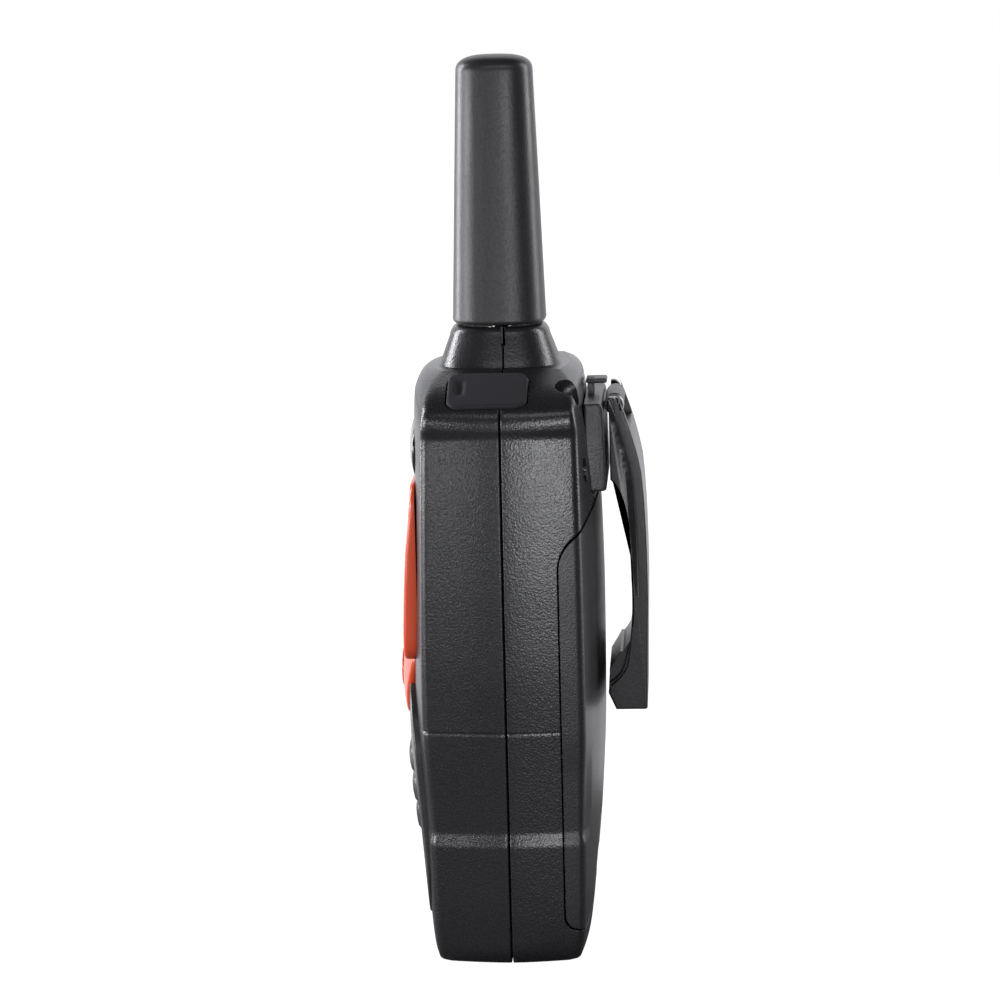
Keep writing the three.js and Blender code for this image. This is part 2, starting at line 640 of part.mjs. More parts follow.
/** The battery bay: an open box behind the seam that holds the cells. */
function bayForm(grow, y0, y1) {
  const half = CELL_PITCH + CELL_RADIUS + PART_GAP + grow;
  const low = CELL_BASE_Z - 3.4 - grow;
  const high = CELL_BASE_Z + CELL_LENGTH + 2.2 + grow;
  return block([-half, y0, low], [half, y1, high]);
}

/** Ribs that tie the battery bay to the side walls and to the wall behind the clip's pocket. */
function bayTies() {
  const flat = [30, 42.6].map((z) => block([-40, 1, z], [40, 8, z + BAY_WALL]));
  const top = CELL_BASE_Z + CELL_LENGTH;
  const upright = [-12, 12].map((x) => block([x - 0.6, 1, top], [x + 0.6, CARRIER_FLOOR - 1, DOOR_TOP]));
  return [...flat, ...upright].reduce((all, one) => all.add(one)).intersect(bodyForm(-WALL / 2));
}

/** The rail that the clip carrier slides on, a T seen from above. */
function railForm(grow = 0, z0 = CARRIER_BOTTOM + 2, z1 = CARRIER_TOP - 3) {
  const neck = block([-RAIL_NECK - grow, CARRIER_FLOOR - 1, z0], [RAIL_NECK + grow, RAIL_STEP_Y + 0.5, z1]);
  const head = block([-RAIL_HEAD - grow, RAIL_STEP_Y - grow, z0], [RAIL_HEAD + grow, RAIL_FACE_Y + grow, z1]);
  return neck.add(head);
}

/** The rear half: battery bay, clip pocket and rail, screw posts, and the scoop for a wrist strap. */
function rearHousing() {
  const inside = cavity.intersect(seamSide(SEAM_GAP / 2, 60));
  const shell = outer.intersect(seamSide(SEAM_GAP / 2, 60)).subtract(cavity);
  const bay = bayForm(BAY_WALL, BAY_FRONT_Y - BAY_WALL, 30).intersect(bodyForm(-PART_GAP));
  const clipPocket = block(
    [-CARRIER_HALF_WIDTH - PART_GAP, CARRIER_FLOOR, CARRIER_BOTTOM - 0.2],
    [CARRIER_HALF_WIDTH + PART_GAP, 40, BODY_TOP + 5],
  );
  const pocketWall = block([-18, CARRIER_FLOOR - WALL, 80], [18, 30, BODY_TOP - 3]).intersect(bodyForm(-0.2));
  return shell
    .add(pocketWall)
    .add(posts(BOSS_RADIUS, SEAM_GAP / 2, 20).intersect(inside.add(shell)))
    .add(postRibs(1, 8))
    .subtract(extrudeX(doorOutline(PART_GAP), -40, 40))
    .add(bay.subtract(extrudeX(doorOutline(PART_GAP), -40, 40).subtract(bodyForm(-DOOR_WALL - PART_GAP))))
    .add(bayTies())
    .subtract(bayForm(0, BAY_FRONT_Y, 40))
    .subtract(clipPocket)
    .add(railForm())
    .subtract(posts(SCREW_RADIUS + 0.1, -5, 20))
    .subtract(posts(SCREW_HEAD_RADIUS + PART_GAP, 8.4, 20))
    .subtract(gasketForm(1.2, -5, 1))
    .subtract(sideKeys.map(sideKeyOpening).reduce((all, one) => all.add(one)))
    .subtract(coverSeat)
    .subtract(jackPocket)
    .subtract(solidOf(new THREE.SphereGeometry(STRAP_RADIUS, 14, 10).translate(STRAP_X, STRAP_Y, STRAP_Z)))
    .subtract(aerialHole);
}

/** The form that the lower panel's face follows: further out from the housing towards its top. */
function panelForm(grow) {
  const proud = (z) => {
    const share = THREE.MathUtils.smoothstep(z, PANEL_BOTTOM, WAIST_TOP);
    return grow + THREE.MathUtils.lerp(PANEL_FOOT_PROUD, PANEL_PROUD, share);
  };
  return solidOf(loft(BODY_LEVELS.map((z) => bodyRing(z, proud(z)))));
}

/**
 * The lower front panel: follows the housing's front, with the bars and slots of the speaker and
 * room for the pad.
 */
function lowerPanel() {
  const outline = extrudeY(panelOutline(), -40, -5);
  const skin = panelForm(0).subtract(bodyForm(-PANEL_DEPTH + PART_GAP / 2));
  const bars = Array.from({ length: BAR_COUNT }, (_, i) => {
    const z = BAR_TOP_Z - BAR_PITCH / 2 + SLOT_HEIGHT / 2 - i * BAR_PITCH;
    const half = BAR_HALF_WIDTH - (i === BAR_COUNT - 1 ? 2 : 0);
    const shape = roundedRectangle(2 * half, BAR_PITCH - SLOT_HEIGHT, 2.2, 0, z);
    return extrudeY(shape, -40, -5).intersect(panelForm(BAR_PROUD).subtract(bodyForm(0)));
  });
  return bars
    .reduce((all, one) => all.add(one), skin.intersect(outline))
    .subtract(speakerSlots(-40, -5))
    .subtract(extrudeY(padOutline(PAD_TILT_ROOM), -40, -5))
    .subtract(extrudeY(frameOutline(PART_GAP), -40, -5));
}

const latchZ = DOOR_BOTTOM + 5.4;

/** The battery door: the housing's own skin behind the parting line, with an opening for its latch. */
function batteryDoor() {
  const zone = extrudeX(doorOutline(), -40, 40);
  const reach = block([-60, -5, DOOR_BOTTOM + DOOR_WALL], [60, 60, DOOR_TOP - 1.6]);
  const hollow = bodyForm(-DOOR_WALL).intersect(reach);
  return outer
    .intersect(zone)
    .subtract(hollow)
    .subtract(block([-LATCH_WIDTH / 2 - PART_GAP, 5, latchZ - LATCH_HEIGHT / 2 - PART_GAP],
      [LATCH_WIDTH / 2 + PART_GAP, 30, latchZ + LATCH_HEIGHT / 2 + LATCH_TRAVEL + PART_GAP]))
    .subtract(block([-18, 5, DOOR_TOP - 3], [18, CARRIER_FLOOR - WALL + 2.5, DOOR_TOP + 2]));
}

addPiece("front_housing", frontHousing(), blackPlastic);
addPiece("rear_housing", rearHousing(), blackPlastic);
addPiece("lower_panel", lowerPanel(), blackPlastic);
addPiece("battery_door", batteryDoor(), blackPlastic);
addPiece("housing_gasket", gasketForm(0.8, SEAM_GAP / 2, 0.8), blackRubber);

// ---- Front pieces ----

/** The bright frame round the display, with a face that leans out towards its foot. */
function displayFrame() {
  const lensSeat = roundedRectangle(
    LENS_WIDTH + 2 * PART_GAP, LENS_HEIGHT + 2 * PART_GAP, 2 + PART_GAP, 0, LENS_CENTRE_Z,
  );
  const lean = new THREE.Shape([
    new THREE.Vector2(FRAME_FLOOR, FRAME_BOTTOM - 1),
    new THREE.Vector2(FRAME_FLOOR, FRAME_BOTTOM + FRAME_HEIGHT + 1),
    new THREE.Vector2(FRAME_FACE + 1.9, FRAME_BOTTOM + FRAME_HEIGHT + 1),
    new THREE.Vector2(FRAME_FACE + 0.4, frameCentreZ + 3),
    new THREE.Vector2(FRAME_FACE, FRAME_BOTTOM + 5),
    new THREE.Vector2(FRAME_FACE, FRAME_BOTTOM - 1),
  ]);
  return extrudeY(frameOutline(), -30, FRAME_FLOOR - 0.05)
    .intersect(extrudeX(lean, -40, 40))
    .subtract(extrudeY(roundedRectangle(LENS_WIDTH - 4, LENS_HEIGHT - 4, 1.5, 0, LENS_CENTRE_Z), -30, 0))
    .subtract(extrudeY(lensSeat, LENS_FACE - 0.05, 0))
    .subtract(extrudeY(padOutline(PAD_TILT_ROOM), -30, 0));
}

addPiece("display_frame", displayFrame(), orangePlastic);
const lensOutline = roundedRectangle(LENS_WIDTH, LENS_HEIGHT, 2, 0, LENS_CENTRE_Z);
addPiece("display_lens", extrudeY(lensOutline, LENS_FACE, LENS_FACE + LENS_THICKNESS), clearPlastic);
addPiece(
  "lcd_module",
  block([-13, -14, LENS_CENTRE_Z - 10.5], [13, -12.3, LENS_CENTRE_Z + 10.5]),
  screenGlass,
);
addPiece(
  "backlight_tray",
  block([-14, -12.2, LENS_CENTRE_Z - 11.5], [14, BOARD_Y - 0.1, LENS_CENTRE_Z + 11.5]),
  whitePlastic,
);

/** The dark fascia over the display, bulging forwards, with a sound hole and a seat for the lamp. */
function fascia() {
  const bulge = new THREE.CylinderGeometry(103, 103, 60, 96).rotateX(Math.PI / 2);
  bulge.translate(0, FASCIA_FACE + 103, fasciaCentreZ);
  const roll = new THREE.CylinderGeometry(14, 14, 80, 48).rotateZ(Math.PI / 2);
  roll.translate(0, FASCIA_FACE + 14, fasciaCentreZ);
  return extrudeY(fasciaOutline(), -30, FRAME_FLOOR - 0.05)
    .intersect(solidOf(bulge))
    .intersect(solidOf(roll))
    .subtract(rod(SOUND_HOLE_RADIUS, 12, [SOUND_HOLE_X, -25, fasciaCentreZ], "y", 10))
    .subtract(rod(LAMP_RADIUS + PART_GAP, 12, [LAMP_X, -25, fasciaCentreZ], "y", 12));
}

addPiece("front_fascia", fascia(), darkGloss);
const lampBase = [LAMP_X, FASCIA_FACE + 0.6, fasciaCentreZ];
addPiece("status_lamp", rod(LAMP_RADIUS, 5.6, lampBase, "y", 12), clearPlastic);
addPiece("microphone", rod(3, 2.4, [SOUND_HOLE_X, FRONT_MID + WALL + 0.8, fasciaCentreZ], "y", 18), steel);

/** The select pad, which rocks up and down: a rounded shield with a hole for the select button. */
function selectPad() {
  const base = -15;
  const crown = new THREE.CylinderGeometry(30, 30, 60, 64).rotateZ(Math.PI / 2);
  crown.translate(0, PAD_FACE + 30, PAD_CENTRE_Z - 0.5);
  const dish = new THREE.CylinderGeometry(46, 46, 60, 64).rotateX(Math.PI / 2);
  dish.translate(0, PAD_FACE + 46, PAD_CENTRE_Z);
  return extrudeY(padOutline(), -30, base)
    .intersect(solidOf(crown))
    .intersect(solidOf(dish))
    .subtract(rod(BUTTON_RADIUS + PART_GAP, 20, [0, -30, PAD_CENTRE_Z + 0.5], "y"));
}

addPiece("select_pad", selectPad(), orangePlastic);
const buttonBase = [0, PAD_FACE - BUTTON_PROUD, PAD_CENTRE_Z + 0.5];
addPiece("select_button", rod(BUTTON_RADIUS, 5.7, buttonBase, "y"), orangePlastic);
addPiece(
  "keypad_membrane",
  extrudeY(roundedRectangle(PAD_WIDTH - 1, PAD_HEIGHT - 3.4, 3, 0, PAD_CENTRE_Z + 1), -12.9, -11.6),
  blackRubber,
);

// ---- Speaker ----
const speakerZ = BAR_TOP_Z - 1.5 * BAR_PITCH + 0.4;
const speakerFront = -13.4;
const aboutSpeaker = (geometry) => geometry.rotateX(-Math.PI / 2).translate(0, speakerFront, speakerZ);

addPiece(
  "speaker_cloth",
  rod(SPEAKER_RADIUS - 2, 0.3, [0, speakerFront - 0.4, speakerZ], "y"),
  blackCloth,
);
addPiece(
  "speaker_cone",
  aboutSpeaker(turned([[0, 1.6], [3.4, 1.1], [3.8, 1.5], [SPEAKER_RADIUS - 3, 0.2], [SPEAKER_RADIUS - 2, 0.2],
    [SPEAKER_RADIUS - 2, 0.6], [SPEAKER_RADIUS - 3.2, 0.7], [3.8, 2], [0, 2]])),
  paperCone,
);
addPiece(
  "speaker_frame",
  aboutSpeaker(turned([
    [4.6, 2.3], [SPEAKER_RADIUS - 4, 2.3], [SPEAKER_RADIUS - 1.6, 0.9], [SPEAKER_RADIUS - 1.6, 0],
    [SPEAKER_RADIUS, 0], [SPEAKER_RADIUS, 1], [SPEAKER_RADIUS - 3.6, 2.7], [4.6, 2.7], [4.6, 2.3],
  ])),
  steel,
);
addPiece("speaker_magnet", rod(5.6, 0.75, [0, speakerFront + 2.75, speakerZ], "y"), nickel);

// ---- Aerial ----
const sheathBase = collarTop + 0.35;

/** The aerial's moulded sheath: a tapering soft square with a domed tip, bored from below. */
function aerialSheath() {
  const tip = sheathBase + SHEATH_LENGTH;
  const shoulder = tip - SHEATH_DOME;
  const rings = [
    [sheathBase, SHEATH_BASE_RADIUS - 0.7],
    [sheathBase + 0.5, SHEATH_BASE_RADIUS],
    [shoulder, SHEATH_TIP_RADIUS],
    [tip - 1.9, SHEATH_TIP_RADIUS - 0.4],
    [tip - 0.9, SHEATH_TIP_RADIUS - 1.6],
    [tip - 0.25, SHEATH_TIP_RADIUS - 3.6],
    [tip, 0.8],
  ];
  return solidOf(loft(rings.map(([z, r]) => softSquareRing(r * 0.96, r, z)))).subtract(
    rod(SHEATH_BORE_RADIUS, SHEATH_LENGTH - 7, [0, AERIAL_Y, sheathBase - 1], "z", 16),
  );
}

addPiece("aerial_sheath", aerialSheath(), aerialRubber);
const coilBase = collarTop + 4;
const coilTop = sheathBase + SHEATH_LENGTH - 10;
addPiece(
  "aerial_stud",
  rod(STUD_RADIUS, 15.4, [0, AERIAL_Y, collarTop - 12], "z", 16),
  nickel,
);
addPiece("coil_core", rod(2.2, coilTop - coilBase - 0.5, [0, AERIAL_Y, coilBase], "z", 14), whitePlastic);
addPiece(
  "aerial_coil",
  helix(COIL_RADIUS, COIL_WIRE, COIL_TURNS, coilBase + 1, coilTop - 1).translate(0, AERIAL_Y, 0),
  copper,
);

// ---- Board and what it carries ----
addPiece(
  "main_board",
  block([-BOARD_HALF_WIDTH, BOARD_Y, BOARD_BOTTOM], [BOARD_HALF_WIDTH, BOARD_Y + BOARD_THICKNESS, BOARD_TOP]),
  boardGreen,
);
addPiece(
  "shield_can",
  block([-14, BOARD_Y + BOARD_THICKNESS + 0.05, 76], [14, BOARD_Y + BOARD_THICKNESS + 3.2, BOARD_TOP - 3]),
  steel,
);
const sideBoardX = 8.5 - BODY_HALF_WIDTH;
addPiece(
  "talk_switch",
  block([sideBoardX - 2.6, -2.6, TALK_CENTRE_Z - 1], [sideBoardX - 0.1, 2.6, TALK_CENTRE_Z + 5]),
  steel,
);
addPiece(
  "side_board",
  block([sideBoardX, -6, KEY_CENTRES[1] - 4], [sideBoardX + 1, 4, TALK_CENTRE_Z + 9]).subtract(
    bayForm(BAY_WALL + PART_GAP, BAY_FRONT_Y - BAY_WALL - PART_GAP, 30),
  ),
  boardGreen,
);

// ---- Side keys ----
sideKeys.forEach((key) => addPiece(key.name, sideKey(key), blackRubber));

// ---- Jack cover and sockets, in the shoulder's own frame ----
const coverGroup = coverPlace();
radio.add(coverGroup);

/** The rubber cover: a rounded plate with a plug under it and a notch for a fingernail at its front edge. */
function jackCover() {
  const plate = solidOf(coverPlate(COVER_LENGTH, COVER_WIDTH, 2, -COVER_SEAT, COVER_THICKNESS - COVER_SEAT));
  const plug = solidOf(
    coverPlate(COVER_LENGTH - 4.6, COVER_WIDTH - 4.6, 1.2, -COVER_SEAT - 0.8, -COVER_SEAT + 0.1),
  );
  const notch = block([-2.4, -COVER_WIDTH / 2 + 1.2, 0.25], [0.6, -COVER_WIDTH / 2 + 2.6, 5]);
  return plate.add(plug).subtract(notch);
}

addPiece("jack_cover", jackCover(), blackRubber, coverGroup);
addPiece(
  "accessory_jack",
  turned([[0, -9], [2.5, -9], [2.5, -2.2], [1.8, -2.2], [1.8, -7], [0, -7]], 18).translate(0, -2.7, 0),
  nickel,
  coverGroup,
);
addPiece(
  "charging_socket",
  block([-1.6, 0.4, -8], [1.6, 4.9, -2.2]).subtract(block([-1, 0.9, -6.5], [1, 4.4, 0])),
  steel,
  coverGroup,
);

// ---- Power: cells, contacts and door latch ----
const cellColumns = [-CELL_PITCH, 0, CELL_PITCH];
cellColumns.forEach((x, i) => {
  const top = CELL_LENGTH;
  const outline = [[0, 0], [CELL_RADIUS - 0.6, 0], [CELL_RADIUS, 0.5], [CELL_RADIUS, top - 1.6],
    [CELL_RADIUS - 0.6, top - 1.1], [2.7, top - 1.1], [2.7, top], [0, top]];
  addPiece(`cell_${i + 1}`, turned(outline, 20), cellSleeve).position.set(x, CELL_Y, CELL_BASE_Z);
  const spring = helix(3.2, 0.35, 3, 0.45, 2.3);
  addPiece(`contact_spring_${i + 1}`, spring, nickel).position.set(x, CELL_Y, CELL_BASE_Z - 2.8);
  addPiece(`contact_plate_${i + 1}`, block([-3.6, -3.6, 0], [3.6, 3.6, 0.4]), nickel).position.set(
    x,
    CELL_Y,
    CELL_BASE_Z + CELL_LENGTH + 0.6,
  );
});

/** The door's latch: a ribbed slider in the door's foot, sprung downwards. */
function doorLatch() {
  const face = BACK_MID - backIn(latchZ);
  const inner = face - DOOR_WALL - 2;
  const bar = block([-LATCH_WIDTH / 2, inner + 1, latchZ - LATCH_HEIGHT / 2],
    [LATCH_WIDTH / 2, face - 0.25, latchZ + LATCH_HEIGHT / 2]);
  const [lipHalf, grooveHalf] = [LATCH_WIDTH / 2 + 0.8, LATCH_WIDTH / 2 - 1];
  const lip = block([-lipHalf, inner, latchZ - 3], [lipHalf, inner + 1.1, latchZ + 2.6]);
  const grooves = [latchZ - 1.2, latchZ, latchZ + 1.2].map((z) =>
    block([-grooveHalf, face - 0.7, z - 0.3], [grooveHalf, face + 1, z + 0.3]),
  );
  return grooves.reduce((latch, groove) => latch.subtract(groove), bar.add(lip));
}

addPiece("door_latch", doorLatch(), blackPlastic);

// ---- Fasteners and strap bar ----
SCREW_HEIGHTS.forEach((z, row) =>
  [-SCREW_X, SCREW_X].forEach((x, column) => {
    const outline = [
      [0, 0], [SCREW_RADIUS, 0], [SCREW_RADIUS, SCREW_LENGTH], [SCREW_HEAD_RADIUS, SCREW_LENGTH],
      [SCREW_HEAD_RADIUS, SCREW_LENGTH + 1.1], [0, SCREW_LENGTH + 1.1],
    ];
    const screw = turned(outline, 10).rotateX(-Math.PI / 2);
    const name = `housing_screw_${2 * row + column + 1}`;
    addPiece(name, screw, steel).position.set(x, 8.5 - SCREW_LENGTH, z);
  }),
);

// ---- Belt clip ----

/** The carrier: a block in the housing's pocket, slotted for the rail, with a barrel for the pivot pin. */
function clipCarrier() {
  const plate = new THREE.Shape();
  plate.moveTo(CARRIER_FLOOR + PART_GAP, CARRIER_BOTTOM + 0.6);
  plate.lineTo(CARRIER_FLOOR + PART_GAP + 0.6, CARRIER_BOTTOM);
  plate.lineTo(CARRIER_FACE - 0.8, CARRIER_BOTTOM);
  plate.quadraticCurveTo(CARRIER_FACE, CARRIER_BOTTOM, CARRIER_FACE, CARRIER_BOTTOM + 0.8);
  plate.lineTo(CARRIER_FACE - 0.4, CARRIER_TOP - 1.4);
  plate.quadraticCurveTo(CARRIER_FACE - 0.5, CARRIER_TOP, CARRIER_FACE - 1.6, CARRIER_TOP);
  plate.lineTo(CARRIER_FLOOR + PART_GAP, CARRIER_TOP);
  const lug = block(
    [-BARREL_HALF_WIDTH, CARRIER_FACE - 2, PIVOT_Z - 0.9],
    [BARREL_HALF_WIDTH, PIVOT_Y, PIVOT_Z + BARREL_RADIUS],
  );
  const barrel = rod(BARREL_RADIUS, 2 * BARREL_HALF_WIDTH, [-BARREL_HALF_WIDTH, PIVOT_Y, PIVOT_Z], "x");
  const bore = rod(PIN_RADIUS + PIN_CLEARANCE, 60, [-30, PIVOT_Y, PIVOT_Z], "x", 16);
  return extrudeX(plate, -CARRIER_HALF_WIDTH, CARRIER_HALF_WIDTH)
    .add(lug)
    .add(barrel)
    .subtract(railForm(PART_GAP, CARRIER_BOTTOM - 5, CARRIER_TOP - 3 + PART_GAP))
    .subtract(bore);
}

/** The clip's outline from the side: outer curve down the back, toe, inner curve up to the pivot. */
function clipOutline() {
  const shape = new THREE.Shape();
  shape.moveTo(PIVOT_Y - 1, PIVOT_Z + 1.6);
  shape.lineTo(PIVOT_Y - 0.9, PIVOT_Z - 13.4);
  shape.quadraticCurveTo(CLIP_BACK - 3.6, PIVOT_Z - 16.6, CLIP_BACK - 3.2, PIVOT_Z - 27);
  shape.quadraticCurveTo(CLIP_BACK - 2.9, CLIP_TOE_Z + 21, CLIP_BACK - 3.1, CLIP_TOE_Z + 16.4);
  shape.quadraticCurveTo(CLIP_BACK - 3.6, CLIP_TOE_Z + 13, CLIP_BACK - 7.4, CLIP_TOE_Z + 7);
  shape.lineTo(CLIP_BACK - 7.6, CLIP_TOE_Z + 3.1);
  shape.lineTo(CLIP_BACK - 6.2, CLIP_TOE_Z);
  shape.lineTo(CLIP_BACK - 0.9, CLIP_TOE_Z);
  shape.quadraticCurveTo(CLIP_BACK - 0.4, CLIP_TOE_Z, CLIP_BACK - 0.4, CLIP_TOE_Z + 0.6);
  shape.lineTo(CLIP_BACK, CLIP_TOE_Z + 21);
  shape.quadraticCurveTo(CLIP_BACK, PIVOT_Z - 20, CLIP_BACK - 0.9, PIVOT_Z - 12);
  shape.quadraticCurveTo(CLIP_BACK - 2.2, PIVOT_Z - 5, PIVOT_Y + 0.6, PIVOT_Z + 2.1);
  shape.quadraticCurveTo(PIVOT_Y - 0.2, PIVOT_Z + 2.6, PIVOT_Y - 1, PIVOT_Z + 1.6);
  return shape;
}

/** The hollow between the clip's flanges, and the notch at its top that clears the barrel. */
function clipHollow() {
  const half = CLIP_HALF_WIDTH - CLIP_FLANGE;
  const shape = new THREE.Shape();
  const web = CLIP_BACK - CLIP_WEB;
  shape.moveTo(0, CLIP_TOE_Z + 14);
  shape.lineTo(web - 3.2, CLIP_TOE_Z + 10.4);
  shape.quadraticCurveTo(web - 0.1, CLIP_TOE_Z + 14, web, CLIP_TOE_Z + 21);
  shape.quadraticCurveTo(web, PIVOT_Z - 20, web - 0.9, PIVOT_Z - 12);
  shape.quadraticCurveTo(web - 2.2, PIVOT_Z - 5, PIVOT_Y + 0.3 - CLIP_WEB, PIVOT_Z + 4);
  shape.lineTo(0, PIVOT_Z + 4);
  return extrudeX(shape, -half, half);
}

/** The belt clip: a sprung lever with two flanges, an open notch at its top and ribs on its toe. */
function beltClip() {
  const notch = block(
    [CLIP_FLANGE - CLIP_HALF_WIDTH, PIVOT_Y - 5, PIVOT_Z - 4.4],
    [CLIP_HALF_WIDTH - CLIP_FLANGE, CLIP_BACK, PIVOT_Z + 8],
  );
  const grooves = [0, 1].map((i) =>
    rod(0.55, 60, [-30, CLIP_BACK - 7.75, CLIP_TOE_Z + 4 + 2 * i], "x", 10),
  );
  return extrudeX(clipOutline(), -CLIP_HALF_WIDTH, CLIP_HALF_WIDTH)
    .subtract(clipHollow())
    .subtract(notch)
    .subtract(grooves[0])
    .subtract(grooves[1])
    .subtract(rod(PIN_RADIUS + PIN_CLEARANCE, 60, [-30, PIVOT_Y, PIVOT_Z], "x", 16));
}

addPiece("clip_carrier", clipCarrier(), clipPlastic);
addPiece("belt_clip", beltClip(), clipPlastic);
addPiece(
  "clip_pin",
  rod(PIN_RADIUS, 2 * CLIP_HALF_WIDTH - 0.6, [-CLIP_HALF_WIDTH + 0.3, PIVOT_Y, PIVOT_Z], "x", 16),
  steel,
);
const springStart = BARREL_HALF_WIDTH + 0.6;
const springEnd = CLIP_HALF_WIDTH - CLIP_FLANGE - 0.6;
addPiece(
  "clip_spring",
  helix(1.5, 0.3, 3, springStart, springEnd).rotateY(Math.PI / 2).translate(0, PIVOT_Y, PIVOT_Z),
  steel,
);

// ---- Place the radio so that its whole depth is centred on the origin ----
radio.position.y = -(CLIP_BACK + PAD_FACE - BUTTON_PROUD) / 2;

export default radio;
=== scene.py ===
"""Looks of a handheld two-way radio: fine housings, keys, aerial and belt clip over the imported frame.

Shapes are drawn in millimetres from the housing's seam plane (y = 0) and its foot (z = 0), and are placed in
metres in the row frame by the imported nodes' own boxes.
"""

import logging
import math
from collections.abc import Callable, Iterable, Sequence
from dataclasses import dataclass, field
from enum import Enum
from typing import ClassVar

import bpy
import numpy as np
from mathutils import Matrix, Vector


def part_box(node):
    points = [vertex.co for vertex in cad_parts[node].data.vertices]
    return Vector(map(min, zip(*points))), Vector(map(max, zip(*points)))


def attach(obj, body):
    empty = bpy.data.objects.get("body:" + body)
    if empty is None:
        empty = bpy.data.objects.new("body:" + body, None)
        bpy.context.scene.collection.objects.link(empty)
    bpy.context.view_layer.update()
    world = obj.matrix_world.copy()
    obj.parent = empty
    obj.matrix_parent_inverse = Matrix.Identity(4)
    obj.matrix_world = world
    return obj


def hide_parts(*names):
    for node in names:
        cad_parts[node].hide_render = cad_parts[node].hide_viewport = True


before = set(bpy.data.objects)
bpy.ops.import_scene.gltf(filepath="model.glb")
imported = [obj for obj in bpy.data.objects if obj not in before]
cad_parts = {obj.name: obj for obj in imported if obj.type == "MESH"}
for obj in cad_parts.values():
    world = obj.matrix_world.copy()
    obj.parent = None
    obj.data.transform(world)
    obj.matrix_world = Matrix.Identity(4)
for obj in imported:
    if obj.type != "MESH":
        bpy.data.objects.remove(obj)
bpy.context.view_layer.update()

LOG = logging.getLogger("radio")
MM = 0.001
# Half the gap along the seam, in millimetres.
SEAM_GAP = 0.15
SEAM_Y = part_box("front_housing")[1][1] / MM + SEAM_GAP
# How far cutting tools reach, in millimetres, which is well past the housing.
BEYOND = 40.0
Outline = np.ndarray
Depth = Callable[[np.ndarray, np.ndarray], np.ndarray]


# ---------------------------------------------------------------- meshes


def row_points(points: np.ndarray) -> np.ndarray:
    """Moves design points to the row frame.

    Args:
        points: Points in millimetres from the seam plane and the foot.

    Returns:
        The same points in metres in the row frame.
    """
    return (np.asarray(points, float) + (0.0, SEAM_Y, 0.0)) * MM


def mesh_object(name: str, points: np.ndarray, faces: Sequence[Sequence[int]]) -> bpy.types.Object:
    """Makes an object from design points.

    Args:
        name: The object's name.
        points: Points in millimetres.
        faces: Corner numbers of each face, anticlockwise from outside.

    Returns:
        The new object, linked to the scene.
    """
    mesh = bpy.data.meshes.new(name)
    mesh.from_pydata(row_points(points).tolist(), [], [list(face) for face in faces])
    mesh.update()
    made = bpy.data.objects.new(name, mesh)
    bpy.context.scene.collection.objects.link(made)
    return made


def loft(name: str, rings: Sequence[np.ndarray]) -> bpy.types.Object:
    """Skins rings of equal length and closes both ends.

    Args:
        name: The object's name.
        rings: Rings of points, each anticlockwise seen from the last ring's side.

    Returns:
        A closed object.
    """
    count = len(rings[0])
    points = np.vstack([*rings, rings[0].mean(axis=0), rings[-1].mean(axis=0)])
    low, high = len(rings) * count, len(rings) * count + 1
    faces: list[tuple[int, ...]] = []
    for j in range(count):
        k = (j + 1) % count
        top = (len(rings) - 1) * count
        faces.append((low, k, j))
        faces.append((high, top + j, top + k))
        for i in range(len(rings) - 1):
            faces.append((i * count + j, i * count + k, (i + 1) * count + k, (i + 1) * count + j))
    return mesh_object(name, points, faces)


def carve(
    body: bpy.types.Object, tools: Iterable[bpy.types.Object], how: str = "DIFFERENCE"
) -> bpy.types.Object:
    """Cuts tools out of a body, adds them to it or keeps what they share, and removes the tools.

    Args:
        body: The object that is changed.
        tools: Closed objects.
        how: DIFFERENCE, UNION or INTERSECT.

    Returns:
        The body.
    """
    used = list(tools)
    for tool in used:
        step = body.modifiers.new("carve", "BOOLEAN")
        step.operation = how
        step.solver = "MANIFOLD"
        step.object = tool
    bpy.context.view_layer.update()
    graph = bpy.context.evaluated_depsgraph_get()
    result = bpy.data.meshes.new_from_object(body.evaluated_get(graph))
    body.modifiers.clear()
    old = body.data
    body.data = result
    bpy.data.meshes.remove(old)
    for tool in used:
        bpy.data.objects.remove(tool)
    return body


def copy_of(source: bpy.types.Object) -> bpy.types.Object:
    """A separate copy of an object and its mesh, linked to the scene."""
    twin = source.copy()
    twin.data = source.data.copy()
    bpy.context.scene.collection.objects.link(twin)
    return twin


def settle(piece: bpy.types.Object, sharp_degrees: float = 32.0) -> bpy.types.Object:
    """Smooths a piece's shading, keeps its crisp edges and weighs its normals by face size.

    Args:
        piece: The piece.
        sharp_degrees: Edges that turn more than this stay crisp.

    Returns:
        The piece.
    """
    mesh = piece.data
    mesh.polygons.foreach_set("use_smooth", np.ones(len(mesh.polygons), bool))
    mesh.set_sharp_from_angle(angle=math.radians(sharp_degrees))
    weigh = piece.modifiers.new("weighted normals", "WEIGHTED_NORMAL")
    weigh.keep_sharp = True
    return piece


def rounded_rectangle(
    width: float, height: float, radius: float, u: float = 0.0, v: float = 0.0, steps: int = 8
) -> Outline:
    """A rounded rectangle's outline, anticlockwise.

    Args:
        width: Size along u.
        height: Size along v.
        radius: Corner radius.
        u: Centre along u.
        v: Centre along v.
        steps: Points per corner, less one.

    Returns:
        Outline points in (u, v).
    """
    r = min(radius, width / 2 - 0.01, height / 2 - 0.01)
    points: list[tuple[float, float]] = []
    for corner, (su, sv) in enumerate([(1, -1), (1, 1), (-1, 1), (-1, -1)]):
        for i in range(steps + 1):
            angle = math.radians(-90 + 90 * corner + 90 * i / steps)
            middle_u, middle_v = u + su * (width / 2 - r), v + sv * (height / 2 - r)
            points.append((middle_u + r * math.cos(angle), middle_v + r * math.sin(angle)))
    return np.array(points)


